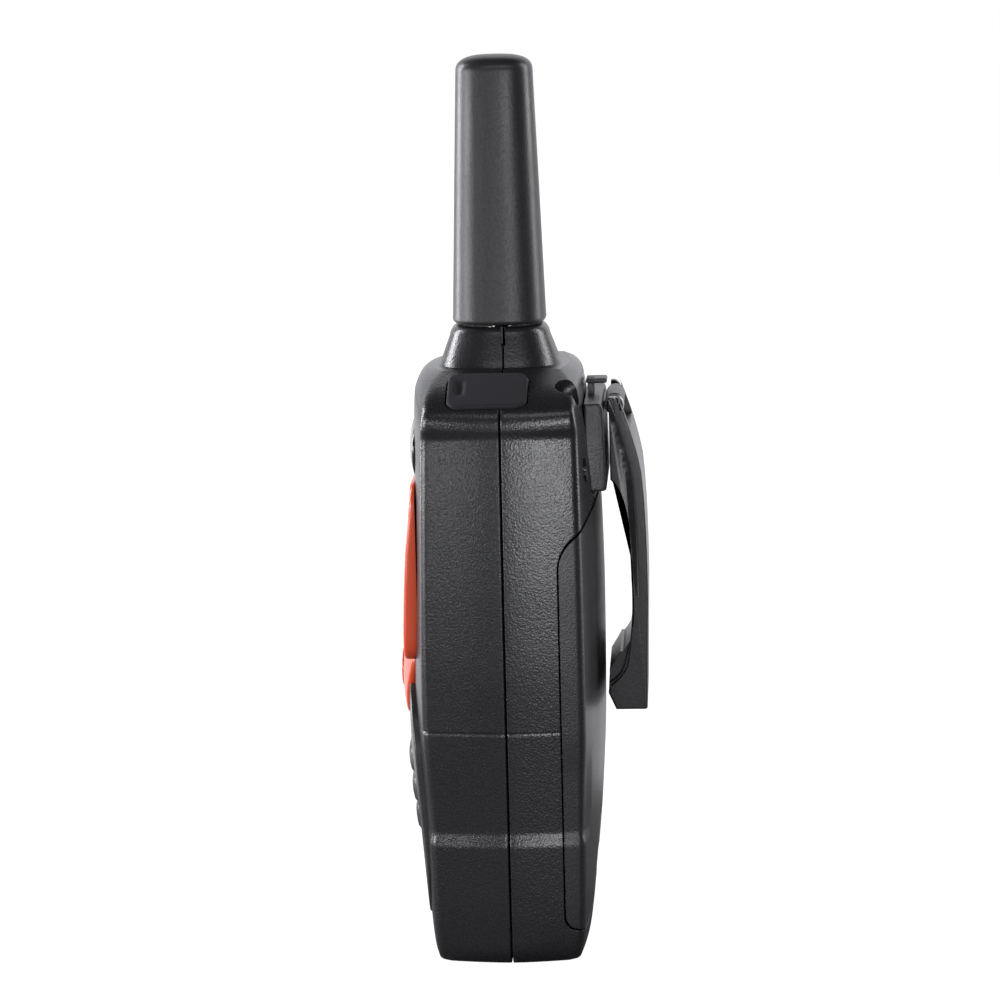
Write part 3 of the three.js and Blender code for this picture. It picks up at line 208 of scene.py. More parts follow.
def dense(outline: Outline, step: float) -> Outline:
    """The outline with points added so that none are further apart than a step."""
    points: list[np.ndarray] = []
    for here, there in zip(outline, np.roll(outline, -1, axis=0)):
        parts = max(1, int(np.ceil(np.linalg.norm(there - here) / step)))
        points.extend(here + (there - here) * i / parts for i in range(parts))
    return np.array(points)


def inset(outline: Outline, amount: float) -> Outline:
    """Moves an anticlockwise outline inwards.

    Args:
        outline: Outline points.
        amount: Distance inwards, or outwards when negative.

    Returns:
        The moved outline.
    """
    ahead = np.roll(outline, -1, axis=0) - outline
    behind = outline - np.roll(outline, 1, axis=0)
    along = ahead / np.linalg.norm(ahead, axis=1, keepdims=True)
    along = along + behind / np.linalg.norm(behind, axis=1, keepdims=True)
    along /= np.linalg.norm(along, axis=1, keepdims=True)
    return outline + amount * np.column_stack([-along[:, 1], along[:, 0]])


class Facing(Enum):
    """Which way a plate's face looks: the directions of its own u, v and outward axes."""

    FRONT = ((1, 0, 0), (0, 0, 1), (0, -1, 0))
    BACK = ((-1, 0, 0), (0, 0, 1), (0, 1, 0))
    LEFT = ((0, -1, 0), (0, 0, 1), (-1, 0, 0))
    RIGHT = ((0, 1, 0), (0, 0, 1), (1, 0, 0))
    UP = ((1, 0, 0), (0, 1, 0), (0, 0, 1))


def facing_points(flat: np.ndarray, height: np.ndarray | float, facing: Facing) -> np.ndarray:
    """Turns (u, v) points and outward heights into design points."""
    u, v, out = (np.array(axis, float) for axis in facing.value)
    heights = np.broadcast_to(height, len(flat))
    return flat[:, :1] * u + flat[:, 1:] * v + heights[:, None] * out


@dataclass
class Plate:
    """A closed plate with a rounded rim and a face of any gentle shape.

    Attributes:
        outline: Anticlockwise outline in (u, v).
        back: Outward height of its back.
        face: Outward height of its face at (u, v).
        rim: Radius of the rounded rim.
        facing: Which way it looks.
        rings: How many rings shape the face inside the rim.
        rim_steps: How many steps round the rim.
    """

    outline: Outline
    back: float
    face: Depth
    rim: float = 0.4
    facing: Facing = Facing.FRONT
    rings: int = 7
    rim_steps: int = 5

    def build(self, name: str) -> bpy.types.Object:
        """Makes the plate.

        Args:
            name: The object's name.

        Returns:
            A closed object.
        """
        rings = [facing_points(self.outline, self.back, self.facing)]
        for i in range(self.rim_steps + 1):
            turn = math.radians(90 * i / self.rim_steps)
            flat = inset(self.outline, self.rim * (1 - math.cos(turn)))
            height = self.face(flat[:, 0], flat[:, 1]) - self.rim * (1 - math.sin(turn))
            rings.append(facing_points(flat, height, self.facing))
        centre = flat.mean(axis=0)
        for share in np.linspace(1, 0.04, self.rings + 1)[1:]:
            inner = centre + (flat - centre) * share
            rings.append(facing_points(inner, self.face(inner[:, 0], inner[:, 1]), self.facing))
        return loft(name, rings)


def prism(
    outline: Outline, low: float, high: float, facing: Facing = Facing.FRONT, flare: float = 0.0
) -> bpy.types.Object:
    """A straight-sided tool between two outward heights.

    Args:
        outline: Anticlockwise outline in (u, v).
        low: Lower outward height.
        high: Higher outward height.
        facing: Which way it looks.
        flare: How far the outline has grown at the high end.

    Returns:
        A closed object.
    """
    far = inset(outline, -flare) if flare else outline
    return loft("tool", [facing_points(outline, low, facing), facing_points(far, high, facing)])


def block(low: Sequence[float], high: Sequence[float]) -> bpy.types.Object:
    """A box-shaped tool between two corners."""
    corners = np.array([[low[0], low[1]], [high[0], low[1]], [high[0], high[1]], [low[0], high[1]]], float)
    return prism(corners, low[2], high[2], Facing.UP)


def rod(
    radius: float, base: Sequence[float], length: float, facing: Facing, sides: int = 32, rim: float = 0.0
) -> bpy.types.Object:
    """A round bar from its base along the way it faces, with an optional chamfer at both ends."""
    u, v, out = (np.array(axis, float) for axis in facing.value)
    turn = np.linspace(0, 2 * math.pi, sides, endpoint=False)
    circle = np.cos(turn)[:, None] * u + np.sin(turn)[:, None] * v
    steps = [(0.0, radius - rim), (rim, radius), (length - rim, radius), (length, radius - rim)]
    if not rim:
        steps = [steps[0], steps[-1]]
    return loft("rod", [np.array(base) + out * height + circle * size for height, size in steps])


def coil(
    name: str, centre: np.ndarray, along: np.ndarray, radius: float, wire: float, turns: float,
    length: float, sides: int = 8
) -> bpy.types.Object:
    """A round wire wound about an axis.

    Args:
        name: The object's name.
        centre: Middle of the first end, in millimetres.
        along: The axis.
        radius: Radius of the wire's middle line.
        wire: The wire's radius.
        turns: Number of turns.
        length: Length along the axis.
        sides: Sides of the wire.

    Returns:
        A closed object.
    """
    out = np.array(along, float) / np.linalg.norm(along)
    side = np.cross(out, [0.3, 0.5, 0.81])
    side /= np.linalg.norm(side)
    up = np.cross(out, side)
    rings = []
    for t in np.linspace(0, 1, int(turns * 26) + 1):
        angle = 2 * math.pi * turns * t
        spoke = math.cos(angle) * side + math.sin(angle) * up
        middle = centre + out * length * t + spoke * radius
        turn = np.linspace(0, 2 * math.pi, sides, endpoint=False)
        rings.append(middle + wire * (np.cos(turn)[:, None] * spoke + np.sin(turn)[:, None] * out))
    return loft(name, rings[::-1])


# ---------------------------------------------------------------- housing form


@dataclass(frozen=True)
class Curve:
    """A smooth curve through (height, value) pairs that never swings past its points."""

    pairs: tuple[tuple[float, float], ...]

    def __call__(self, height: np.ndarray | float) -> np.ndarray:
        """The curve's value at each height."""
        heights, values = np.array(self.pairs, float).T
        rise = np.diff(values) / np.diff(heights)
        slopes = np.empty(len(heights))
        slopes[0], slopes[-1] = rise[0], rise[-1]
        product = rise[:-1] * rise[1:]
        total = np.where(np.abs(rise[:-1] + rise[1:]) < 1e-12, 1.0, rise[:-1] + rise[1:])
        slopes[1:-1] = np.where(product <= 0, 0.0, 2 * product / total)
        z = np.clip(height, heights[0], heights[-1])
        i = np.clip(np.searchsorted(heights, z) - 1, 0, len(heights) - 2)
        span = heights[i + 1] - heights[i]
        t = (z - heights[i]) / span
        ends = values[i] * (2 * t**3 - 3 * t**2 + 1) + values[i + 1] * (3 * t**2 - 2 * t**3)
        return ends + span * (slopes[i] * (t**3 - 2 * t**2 + t) + slopes[i + 1] * (t**3 - t**2))


def ease(value: np.ndarray | float) -> np.ndarray:
    """A smooth step from 0 to 1."""
    t = np.clip(value, 0, 1)
    return t * t * (3 - 2 * t)


@dataclass
class HousingForm:
    """The housing's outer form: how its outline changes with height.

    Attributes:
        half_width: Half of the widest width.
        top: Height of the top, under the collar.
        waist_low: Height where the grip's waist ends.
        waist_high: Height of the waist's crisp top edge.
        waist_ramp: Height of the slope at the waist's foot.
        waist_step: Depth of the waist under its top edge.
        waist_depth: Greatest depth of the waist.
        waist_groove: Extra depth of the fine groove along the waist's top edge.
        draft: How far the side leans in from the seam to its edge.
        corner: Reach of the rounded corner.
        bow: How the side's lean grows from the seam to its edge; 1 is straight.
        soft_waist: Height over which the waist's top edge is softened, as on the battery door.
    """

    half_width: float = 29.0
    top: float = 108.4
    waist_low: float = 22.5
    waist_high: float = 44.5
    waist_ramp: float = 3.0
    waist_step: float = 0.15
    waist_depth: float = 0.5
    waist_groove: float = 0.22
    draft: float = 1.7
    corner: float = 1.3
    bow: float = 1.6
    soft_waist: float = 0.0
    side_in: Curve = Curve(
        (
            (0, 4.4), (0.9, 2.6), (3, 1.5), (22.5, 0.8), (44.5, 0.3), (58, 0), (69, 0.06), (78, 0.28),
            (88, 0.66), (96.6, 1.26), (97.6, 1.36), (98.5, 1.3), (99.4, 1.1), (100.2, 1.09), (101.2, 1.2),
            (102, 1.44), (102.8, 1.95), (103.6, 2.85), (104.4, 4.2), (105.2, 5.9), (106.3, 8.9),
            (107.2, 12.1), (108.1, 15.5), (108.4, 16.6)
        )
    )
    front: Curve = Curve(
        (
            (0, -14), (0.9, -14.8), (3, -15.3), (22.5, -16.7), (44.5, -17.8), (58, -17.5), (75, -16.8),
            (97.5, -16.7), (104.4, -16.6), (106.6, -15.9), (107.8, -14.6), (108.4, -12.8)
        )
    )
    back: Curve = Curve(
        (
            (0, 12.8), (0.9, 13.8), (3, 14.2), (9, 14.9), (27, 16.6), (44.5, 17.45), (65, 17.6), (84, 17.2),
            (95, 15.9), (104, 14.5), (106.4, 14.2), (107.6, 13.4), (108.4, 11.9)
        )
    )
    front_edge: Curve = Curve(
        (
            (0, -12.2), (1, -13.2), (7, -13.9), (22.5, -14.3), (44.5, -15.2), (97.5, -14.3), (104.4, -13.4),
            (107, -12.4), (108.4, -11)
        )
    )
    back_edge: Curve = Curve(
        (
            (0, 11.2), (1, 12.4), (7, 13.5), (22.5, 13.8), (44.5, 14.1), (97.5, 13.7), (104.4, 13),
            (107, 12), (108.4, 10.4)
        )
    )

    def waist(self, z: float) -> float:
        """How deep the waist is at a height."""
        if z <= self.waist_low or z >= self.waist_high:
            return 0.0
        foot = self.waist_low + self.waist_ramp
        if z < foot:
            return self.waist_depth * float(ease((z - self.waist_low) / self.waist_ramp))
        rise = (z - foot) / (self.waist_high - foot)
        depth = self.waist_depth + (self.waist_step - self.waist_depth) * rise
        if self.soft_waist:
            return depth * float(ease((self.waist_high - z) / self.soft_waist))
        below = self.waist_high - z
        return depth + self.waist_groove * float(np.interp(below, (0, 0.1, 0.55), (0.6, 1, 0)))

    def flank(self, z: float) -> float:
        """How far out the side is on the seam at a height."""
        return self.half_width - float(self.side_in(z)) - self.waist(z)

    def front_y(self, x: np.ndarray, z: np.ndarray) -> np.ndarray:
        """Depth of the front's surface at a place."""
        edge = self.half_width - self.side_in(z) - self.draft
        share = np.clip(np.abs(x) / edge, 0, 1)
        return self.front(z) + (self.front_edge(z) - self.front(z)) * share**3

    def quarter(self, z: float, grow: float, front: bool, crown: int, corner: int, flank: int) -> np.ndarray:
        """A quarter of the outline, from the middle of the front or back to the seam on the right.

        Args:
            z: Height.
            grow: Distance that the form is grown by.
            front: True for the front, False for the back.
            crown: Points across the crowned face.
            corner: Steps round the corner.
            flank: Points along the side.

        Returns:
            Outline points in (x, y).
        """
        sign = -1.0 if front else 1.0
        side = self.half_width - float(self.side_in(z)) + grow
        edge = side - self.draft * min(1.0, (self.top - z) / 12)
        middle = float(self.front(z) if front else self.back(z)) + sign * grow
        rim = float(self.front_edge(z) if front else self.back_edge(z)) + sign * grow
        share = 0.9 * np.arange(crown) / (crown - 0.5)
        face = np.column_stack([edge * share, middle + (rim - middle) * share ** (3.0 if front else 1.9)])
        apex, seam = np.array([edge, rim]), np.array([side, 0.0])
        reach = min(self.corner, 0.45 * np.linalg.norm(apex - face[-1]), 0.45 * np.linalg.norm(seam - apex))
        start = apex + (face[-1] - apex) * reach / np.linalg.norm(face[-1] - apex)
        shares = (1 - reach / abs(rim)) * np.linspace(1, 0, flank + 1)
        side_run = np.column_stack([side - (side - edge) * shares**self.bow, rim * shares])
        t = np.linspace(0, 1, corner + 1)[:-1, None]
        turn = (1 - t) ** 2 * start + 2 * t * (1 - t) * apex + t**2 * side_run[0]
        path = np.vstack([face, turn, side_run])
        return self._waisted(path, z, front, crown)

    def _waisted(self, path: np.ndarray, z: float, front: bool, crown: int) -> np.ndarray:
        """Presses the waist into a quarter outline, with a crescent where it runs out on the face."""
        depth = self.waist(z)
        if depth <= 0:
            return path
        step = np.linalg.norm(np.diff(path, axis=0), axis=1)
        along = np.concatenate([[0], np.cumsum(step)])
        distance = along[crown] - along
        share = (z - self.waist_low) / (self.waist_high - self.waist_low)
        swell = math.sqrt(max(0.0, math.sin(math.pi * share)))
        reach = (1.6 if front else 2.8) * (0.4 + 0.6 * swell)
        weight = ease((reach - distance) / 1.6 + 0.5)
        tangent = np.gradient(path, axis=0)
        tangent /= np.linalg.norm(tangent, axis=1, keepdims=True)
        inward = np.column_stack([tangent[:, 1], -tangent[:, 0]])
        inward = np.where((inward * path).sum(axis=1, keepdims=True) > 0, -inward, inward)
        moved = path + inward * (depth * weight)[:, None]
        moved[-1, 1] = 0.0
        return moved

    def full_ring(
        self, z: float, grow: float = 0.0, height: float | None = None, crown: int = 5, corner: int = 3,
        flank: int = 3
    ) -> np.ndarray:
        """The whole outline at a height as a ring of design points."""
        front = self.quarter(z, grow, True, crown, corner, flank)
        back = self.quarter(z, grow, False, crown, corner, flank)[:-1][::-1]
        half = np.vstack([front, back])
        other = half[1:-1][::-1] * (-1, 1)
        flat = np.vstack([half, other])
        return np.column_stack([flat, np.full(len(flat), z if height is None else height)])

    def half_ring(self, z: float, front: bool, gap: float = SEAM_GAP, soft: float = 0.28) -> np.ndarray:
        """Half of the outline as a closed ring, with a softened edge along the seam.

        Args:
            z: Height.
            front: True for the front half.
            gap: Distance from the seam plane.
            soft: Size of the softened edge.

        Returns:
            Ring points.
        """
        sign = -1.0 if front else 1.0
        path = self.quarter(z, 0.0, front, 17, 7, 9)[:-1]
        side = self.flank(z)
        lean = (path[-1, 0] - side) / abs(path[-1, 1])
        turn = np.radians(np.linspace(0, 90, 5))
        lip_x = side + lean * (gap + soft) - soft * (1 - np.cos(turn))
        lip_y = sign * (gap + soft * (1 - np.sin(turn)))
        path = np.vstack([path, np.column_stack([lip_x, lip_y]), [[side * 0.6, sign * gap]]])
        mirror = path[1:][::-1] * (-1, 1)
        flat = np.vstack([path, mirror])
        if not front:
            flat = flat[::-1]
        return np.column_stack([flat, np.full(len(flat), z)])

    def levels(self) -> list[float]:
        """Heights for a fine skin: close together at the foot, the waist and the shoulders."""
        foot = [0, 0.12, 0.35, 0.65, 1.0, 1.5, 2.2, 3.2, 4.6]
        low = list(np.arange(6.2, self.waist_low - 0.5, 1.8))
        ramp = list(np.linspace(self.waist_low, self.waist_low + self.waist_ramp, 9))
        waist = list(np.arange(26.9, self.waist_high - 1, 1.1))
        waist += [self.waist_high - below for below in (0.55, 0.3, 0.1, 0.01, 0)]
        side = list(np.arange(46.5, 97, 2.2))
        share = np.linspace(0, 1, 38)
        shoulder = list(self.top - (self.top - 97.5) * (1 - share) ** 1.9)
        return [float(z) for z in foot + low + ramp + waist + side + shoulder]

    def solid(self, grow: float = 0.0) -> bpy.types.Object:
        """The whole form as one closed tool, grown by a distance."""
        levels = [
            0, 0.7, 2.4, 12, 22.5, 25.1, 34, 44.4, 44.5, 58, 74, 88, 97.5, 101.4, 103.6, 105.4, 106.8,
            107.8, 108.4
        ]
        return loft("form", [self.full_ring(z, grow) for z in levels])

    def cavity(self, wall: float = 2.0) -> bpy.types.Object:
        """The hollow inside the housing as one closed tool."""
        rings = []
        for z in [wall, 8, 22.5, 25.1, 44.5, 66, 88, 97.5, 101, 103.6, self.top - wall]:
            lift = wall * float(ease((z - 89.5) / (self.top - wall - 89.5)))
            rings.append(self.full_ring(z + lift, -wall, z, 4, 2, 2))
        return loft("cavity", rings)


FORM = HousingForm()


def soft_square(half_x: float, half_y: float, z: float, centre_y: float = -1.0, count: int = 72,
                power: float = 2.7) -> np.ndarray:
    """A ring like a square with very round corners."""
    angle = np.linspace(0, 2 * math.pi, count, endpoint=False)
    c, s = np.cos(angle), np.sin(angle)
    reach = (np.abs(c) ** power + np.abs(s) ** power) ** (-1 / power)
    return np.column_stack([half_x * reach * c, centre_y + half_y * reach * s, np.full(count, z)])


# ---------------------------------------------------------------- finishes


class NodeBoard:
    """A short way to place and join shader nodes in one tree."""

    def __init__(self, tree: bpy.types.ShaderNodeTree) -> None:
        """Keeps the tree and its nodes."""
        self.tree = tree

    def add(
        self, kind: str, values: dict[str | int, object] | None = None, **settings: object
    ) -> bpy.types.Node:
        """Adds a node.

        Args:
            kind: The node's type, without the ShaderNode prefix.
            values: Values or output sockets for its inputs.
            **settings: The node's own settings.

        Returns:
            The new node.
        """
        node = self.tree.nodes.new(f"ShaderNode{kind}")
        for name, value in settings.items():
            setattr(node, name, value)
        for key, value in (values or {}).items():
            if isinstance(value, bpy.types.NodeSocket):
                self.tree.links.new(value, node.inputs[key])
            else:
                node.inputs[key].default_value = value
        return node

    def ramp(
        self, factor: bpy.types.NodeSocket, stops: Sequence[tuple[float, tuple[float, ...]]]
    ) -> bpy.types.Node:
        """Adds a colour ramp with the given stops."""
        node = self.add("ValToRGB", {"Fac": factor})
        bar = node.color_ramp
        while len(bar.elements) < len(stops):
            bar.elements.new(0.5)
        for element, (place, colour) in zip(bar.elements, stops):
            element.position = place
            element.color = (*colour, 1.0) if len(colour) == 3 else (colour[0],) * 3 + (1.0,)
        return node

    def maths(self, operation: str, a: object, b: object = 0.0, clamp: bool = False) -> bpy.types.NodeSocket:
        """Adds a Math node and returns its output."""
        node = self.add("Math", {0: a, 1: b}, operation=operation, use_clamp=clamp)
        return node.outputs[0]


def node_group(
    name: str, inputs: Sequence[tuple[str, str, float]], outputs: Sequence[tuple[str, str]]
) -> tuple[bpy.types.ShaderNodeTree, NodeBoard, bpy.types.Node, bpy.types.Node]:
    """Starts a shader node group.

    Args:
        name: The group's name.
        inputs: Socket name, short type (Float or Color) and default value.
        outputs: Socket name and short type.

    Returns:
        The group, a board on it, its input node and its output node.
    """
    group = bpy.data.node_groups.new(name, "ShaderNodeTree")
    for label, kind, value in inputs:
        socket = group.interface.new_socket(label, in_out="INPUT", socket_type=f"NodeSocket{kind}")
        socket.default_value = value if kind == "Float" else (value, value, value, 1.0)
    for label, kind in outputs:
        group.interface.new_socket(label, in_out="OUTPUT", socket_type=f"NodeSocket{kind}")
    board = NodeBoard(group)
    return group, board, group.nodes.new("NodeGroupInput"), group.nodes.new("NodeGroupOutput")


class SharedEffects:
    """The shader node groups that more than one finish uses."""

    def __init__(self) -> None:
        """Builds every group once."""
        self.grain = self._grain()
        self.handling = self._handling()
        self.brushing = self._brushing()

    @staticmethod
    def _grain() -> bpy.types.ShaderNodeTree:
        """Moulded grain: rounded pebbles over a fine sand. Sizes are in millimetres."""
        group, board, given, result = node_group(
            "moulded_grain",
            [("Pebble Size", "Float", 0.7), ("Pebble Amount", "Float", 1.0), ("Sand Size", "Float", 0.25),
             ("Sand Amount", "Float", 0.4)],
            [("Height", "Float"), ("Valley", "Float")],
        )
        place = board.add("TexCoord").outputs["Object"]
        size = board.maths("DIVIDE", 1000.0, given.outputs["Pebble Size"])
        warp = board.add("TexNoise", {"Vector": place, "Scale": 1500.0, "Detail": 2.0})
        shifted = board.add(
            "VectorMath", {0: warp.outputs["Color"], 1: (0.5, 0.5, 0.5)}, operation="SUBTRACT"
        )
        small = board.add("VectorMath", {0: shifted.outputs[0], "Scale": 0.00035}, operation="SCALE")
        moved = board.add("VectorMath", {0: place, 1: small.outputs[0]}, operation="ADD").outputs[0]
        cells = board.add(
            "TexVoronoi", {"Vector": moved, "Scale": size, "Smoothness": 0.6}, feature="SMOOTH_F1"
        )
        pebble = board.maths("SUBTRACT", 1.0, cells.outputs["Distance"])
        patches = board.add("TexNoise", {"Vector": place, "Scale": 900.0, "Detail": 1.0}).outputs["Fac"]
        pebble = board.maths("MULTIPLY", pebble, board.maths("ADD", 0.7, patches))
        fine = board.maths("DIVIDE", 1000.0, given.outputs["Sand Size"])
        sand = board.add(
            "TexNoise", {"Vector": place, "Scale": fine, "Detail": 3.0, "Roughness": 0.65}
        ).outputs["Fac"]
        height = board.maths(
            "ADD", board.maths("MULTIPLY", pebble, given.outputs["Pebble Amount"]),
            board.maths("MULTIPLY", sand, given.outputs["Sand Amount"]),
        )
        group.links.new(height, result.inputs["Height"])
        group.links.new(cells.outputs["Distance"], result.inputs["Valley"])
        return group

    @staticmethod
    def _handling() -> bpy.types.ShaderNodeTree:
        """Handling: soft patches where fingers polish the surface, fine dust specks and faint scuffs."""
        group, board, given, result = node_group(
            "handling_wear",
            [("Patch Size", "Float", 18.0), ("Dust", "Float", 0.3)],
            [("Polish", "Float"), ("Dust", "Float"), ("Scuff", "Float")],
        )
        place = board.add("TexCoord").outputs["Object"]
        size = board.maths("DIVIDE", 1000.0, given.outputs["Patch Size"])
        patch = board.add(
            "TexNoise", {"Vector": place, "Scale": size, "Detail": 4.0, "Roughness": 0.55}
        ).outputs["Fac"]
        polish = board.ramp(patch, [(0.38, (0.0,)), (0.66, (1.0,))]).outputs["Color"]
        specks = board.add("TexVoronoi", {"Vector": place, "Scale": 520.0}).outputs["Distance"]
        dots = board.ramp(specks, [(0.0, (1.0,)), (0.06, (0.0,))]).outputs["Color"]
        sparse = board.add("TexNoise", {"Vector": place, "Scale": 160.0, "Detail": 2.0}).outputs["Fac"]
        rare = board.ramp(sparse, [(0.52, (0.0,)), (0.7, (1.0,))]).outputs["Color"]
        dust = board.maths("MULTIPLY", board.maths("MULTIPLY", dots, rare), given.outputs["Dust"])
        stretch = board.add(
            "Mapping", {"Vector": place, "Rotation": (0.4, 0.9, 0.3), "Scale": (60, 900, 900)}
        )
        lines = board.add(
            "TexNoise", {"Vector": stretch.outputs[0], "Scale": 1.0, "Detail": 2.0}
        ).outputs["Fac"]
        scuff = board.ramp(lines, [(0.7, (0.0,)), (0.76, (1.0,))]).outputs["Color"]
        group.links.new(polish, result.inputs["Polish"])
        group.links.new(dust, result.inputs["Dust"])
        group.links.new(scuff, result.inputs["Scuff"])
        return group

    @staticmethod
    def _brushing() -> bpy.types.ShaderNodeTree:
        """Fine drawn lines on metal."""
        group, board, given, result = node_group(
            "drawn_lines", [("Length", "Float", 1.0)], [("Height", "Float"), ("Tone", "Float")]
        )
        place = board.add("TexCoord").outputs["Object"]
        stretch = board.add("Mapping", {"Vector": place, "Scale": (300, 9000, 9000)})
        lines = board.add(
            "TexNoise", {"Vector": stretch.outputs[0], "Scale": given.outputs["Length"], "Detail": 3.0}
        )
        broad = board.add("TexNoise", {"Vector": place, "Scale": 300.0, "Detail": 3.0}).outputs["Fac"]
        group.links.new(lines.outputs["Fac"], result.inputs["Height"])
        group.links.new(broad, result.inputs["Tone"])
        return group


EFFECTS = SharedEffects()


def start_material(name: str) -> tuple[bpy.types.Material, NodeBoard, bpy.types.Node]:
    """Starts a node material.

    Args:
        name: The material's name.

    Returns:
        The material, a board on its tree and its Principled shader.
    """
    material = bpy.data.materials.new(name)
    material.use_nodes = True
    return material, NodeBoard(material.node_tree), material.node_tree.nodes["Principled BSDF"]


def mixed(board: NodeBoard, factor: bpy.types.NodeSocket, a: object, b: object) -> bpy.types.NodeSocket:
    """Adds a mix of two colours, each plain or from a socket, and returns its output."""
    node = board.add("Mix", data_type="RGBA")
    inputs = {"Factor_Float": factor, "A_Color": a, "B_Color": b}
    for socket in node.inputs:
        value = inputs.get(socket.identifier)
        if isinstance(value, bpy.types.NodeSocket):
            board.tree.links.new(value, socket)
        elif value is not None:
            socket.default_value = (*value, 1.0)
    return next(socket for socket in node.outputs if socket.identifier == "Result_Color")


@dataclass(frozen=True)
class MouldedPlastic:
    """Moulded plastic or rubber with a grain, worn a little by handling, with painted shade darkening the
    grain's valleys.

    Attributes:
        name: The material's name.
        colour: Base colour.
        roughness: Roughness where it isn't polished.
        polish: How much smoother the handled patches are.
        pebble: Size and height of the pebbles, in millimetres.
        sand: Size and height of the sand, in millimetres.
        specular: Specular level.
        coat: Weight of a clear gloss over it.
        coat_roughness: Roughness of that gloss.
        dust: Strength of the dust specks.
        edge: Radius of the softened edges, in millimetres.
        subsurface: Weight of light inside the plastic.
    """

    name: str
    colour: tuple[float, float, float]
    roughness: float = 0.42
    polish: float = 0.08
    pebble: tuple[float, float] = (0.7, 0.03)
    sand: tuple[float, float] = (0.22, 0.012)
    specular: float = 0.5
    coat: float = 0.0
    coat_roughness: float = 0.2
    dust: float = 0.25
    edge: float = 0.2
    subsurface: float = 0.0

    def make(self) -> bpy.types.Material:
        """Builds the material."""
        material, board, shader = start_material(self.name)
        grain = board.add("Group", node_tree=EFFECTS.grain)
        total = self.pebble[1] + self.sand[1]
        for label, value in {"Pebble Size": self.pebble[0], "Pebble Amount": self.pebble[1] / total,
                             "Sand Size": self.sand[0], "Sand Amount": self.sand[1] / total}.items():
            grain.inputs[label].default_value = value
        wear = board.add("Group", node_tree=EFFECTS.handling)
        wear.inputs["Dust"].default_value = self.dust
        # Painted shade in the grain: the base colour is lighter on the pebbles' tops and darker in the
        # valleys between them.
        lit_pebble_colour = tuple(min(1.0, c * 1.5 + 0.004) for c in self.colour)
        shaded_valley_colour = tuple(c * 0.72 for c in self.colour)
        tone = mixed(board, grain.outputs["Valley"], lit_pebble_colour, shaded_valley_colour)
        specks = board.maths("ADD", wear.outputs["Dust"], 0.0, True)
        board.tree.links.new(mixed(board, specks, tone, (0.32, 0.31, 0.3)), shader.inputs["Base Color"])
        smoother = board.maths("MULTIPLY", wear.outputs["Polish"], -self.polish)
        rough = board.maths(
            "ADD", board.maths("MULTIPLY", grain.outputs["Valley"], 0.08), self.roughness - 0.03
        )
        board.tree.links.new(board.maths("ADD", rough, smoother, True), shader.inputs["Roughness"])
        soft = board.add("Bevel", {"Radius": self.edge * MM}, samples=4)
        bump = board.add("Bump", {"Height": grain.outputs["Height"], "Distance": total * MM, "Strength": 1.0,
                                  "Normal": soft.outputs["Normal"]})
        board.tree.links.new(bump.outputs["Normal"], shader.inputs["Normal"])
        shader.inputs["Specular IOR Level"].default_value = self.specular
        shader.inputs["Coat Weight"].default_value = self.coat
        shader.inputs["Coat Roughness"].default_value = self.coat_roughness
        if self.subsurface:
            shader.inputs["Subsurface Weight"].default_value = self.subsurface
            shader.inputs["Subsurface Radius"].default_value = (0.0012, 0.0004, 0.0002)
            shader.inputs["Subsurface Scale"].default_value = 1.0
        return material


@dataclass(frozen=True)
class PlainMetal:
    """Drawn or plated metal.

    Attributes:
        name: The material's name.
        colour: Base colour.
        roughness: Mean roughness.
        lines: Height of the drawn lines, in millimetres.
    """

    name: str
    colour: tuple[float, float, float]
    roughness: float = 0.3
    lines: float = 0.002

    def make(self) -> bpy.types.Material:
        """Builds the material."""
        material, board, shader = start_material(self.name)
        drawn = board.add("Group", node_tree=EFFECTS.brushing)
        tone = mixed(board, drawn.outputs["Tone"], tuple(c * 0.75 for c in self.colour), self.colour)
        board.tree.links.new(tone, shader.inputs["Base Color"])
        rough = board.maths(
            "ADD", board.maths("MULTIPLY", drawn.outputs["Tone"], 0.2), self.roughness - 0.1, True
        )
        board.tree.links.new(rough, shader.inputs["Roughness"])
        bump = board.add("Bump", {"Height": drawn.outputs["Height"], "Distance": self.lines * MM})
        board.tree.links.new(bump.outputs["Normal"], shader.inputs["Normal"])
        shader.inputs["Metallic"].default_value = 1.0
        return material


@dataclass(frozen=True)
class ClearPlastic:
    """A polished clear part with very fine hairlines."""

    name: str
    tint: tuple[float, float, float] = (0.86, 0.9, 0.89)

    def make(self) -> bpy.types.Material:
        """Builds the material."""
        material, board, shader = start_material(self.name)
        wear = board.add("Group", node_tree=EFFECTS.handling)
        rough = board.maths("ADD", board.maths("MULTIPLY", wear.outputs["Scuff"], 0.04), 0.01)
        board.tree.links.new(rough, shader.inputs["Roughness"])
        shader.inputs["Base Color"].default_value = (*self.tint, 1.0)
        shader.inputs["Transmission Weight"].default_value = 1.0
        shader.inputs["IOR"].default_value = 1.49
        return material


@dataclass(frozen=True)
class WovenCloth:
    """The black dust cloth in front of the speaker."""

    name: str

    def make(self) -> bpy.types.Material:
        """Builds the material."""
        material, board, shader = start_material(self.name)
        place = board.add("TexCoord").outputs["Object"]
        waves = []
        for axis in ("X", "Z"):
            wave = board.add(
                "TexWave", {"Vector": place, "Scale": 330.0, "Distortion": 0.4}, bands_direction=axis
            )
            waves.append(wave.outputs["Fac"])
        weave = board.maths("MULTIPLY", waves[0], waves[1])
        board.tree.links.new(
            mixed(board, weave, (0.004, 0.004, 0.004), (0.03, 0.03, 0.031)), shader.inputs["Base Color"]
        )
        bump = board.add("Bump", {"Height": weave, "Distance": 0.00012})
        board.tree.links.new(bump.outputs["Normal"], shader.inputs["Normal"])
        shader.inputs["Roughness"].default_value = 0.95
        return material


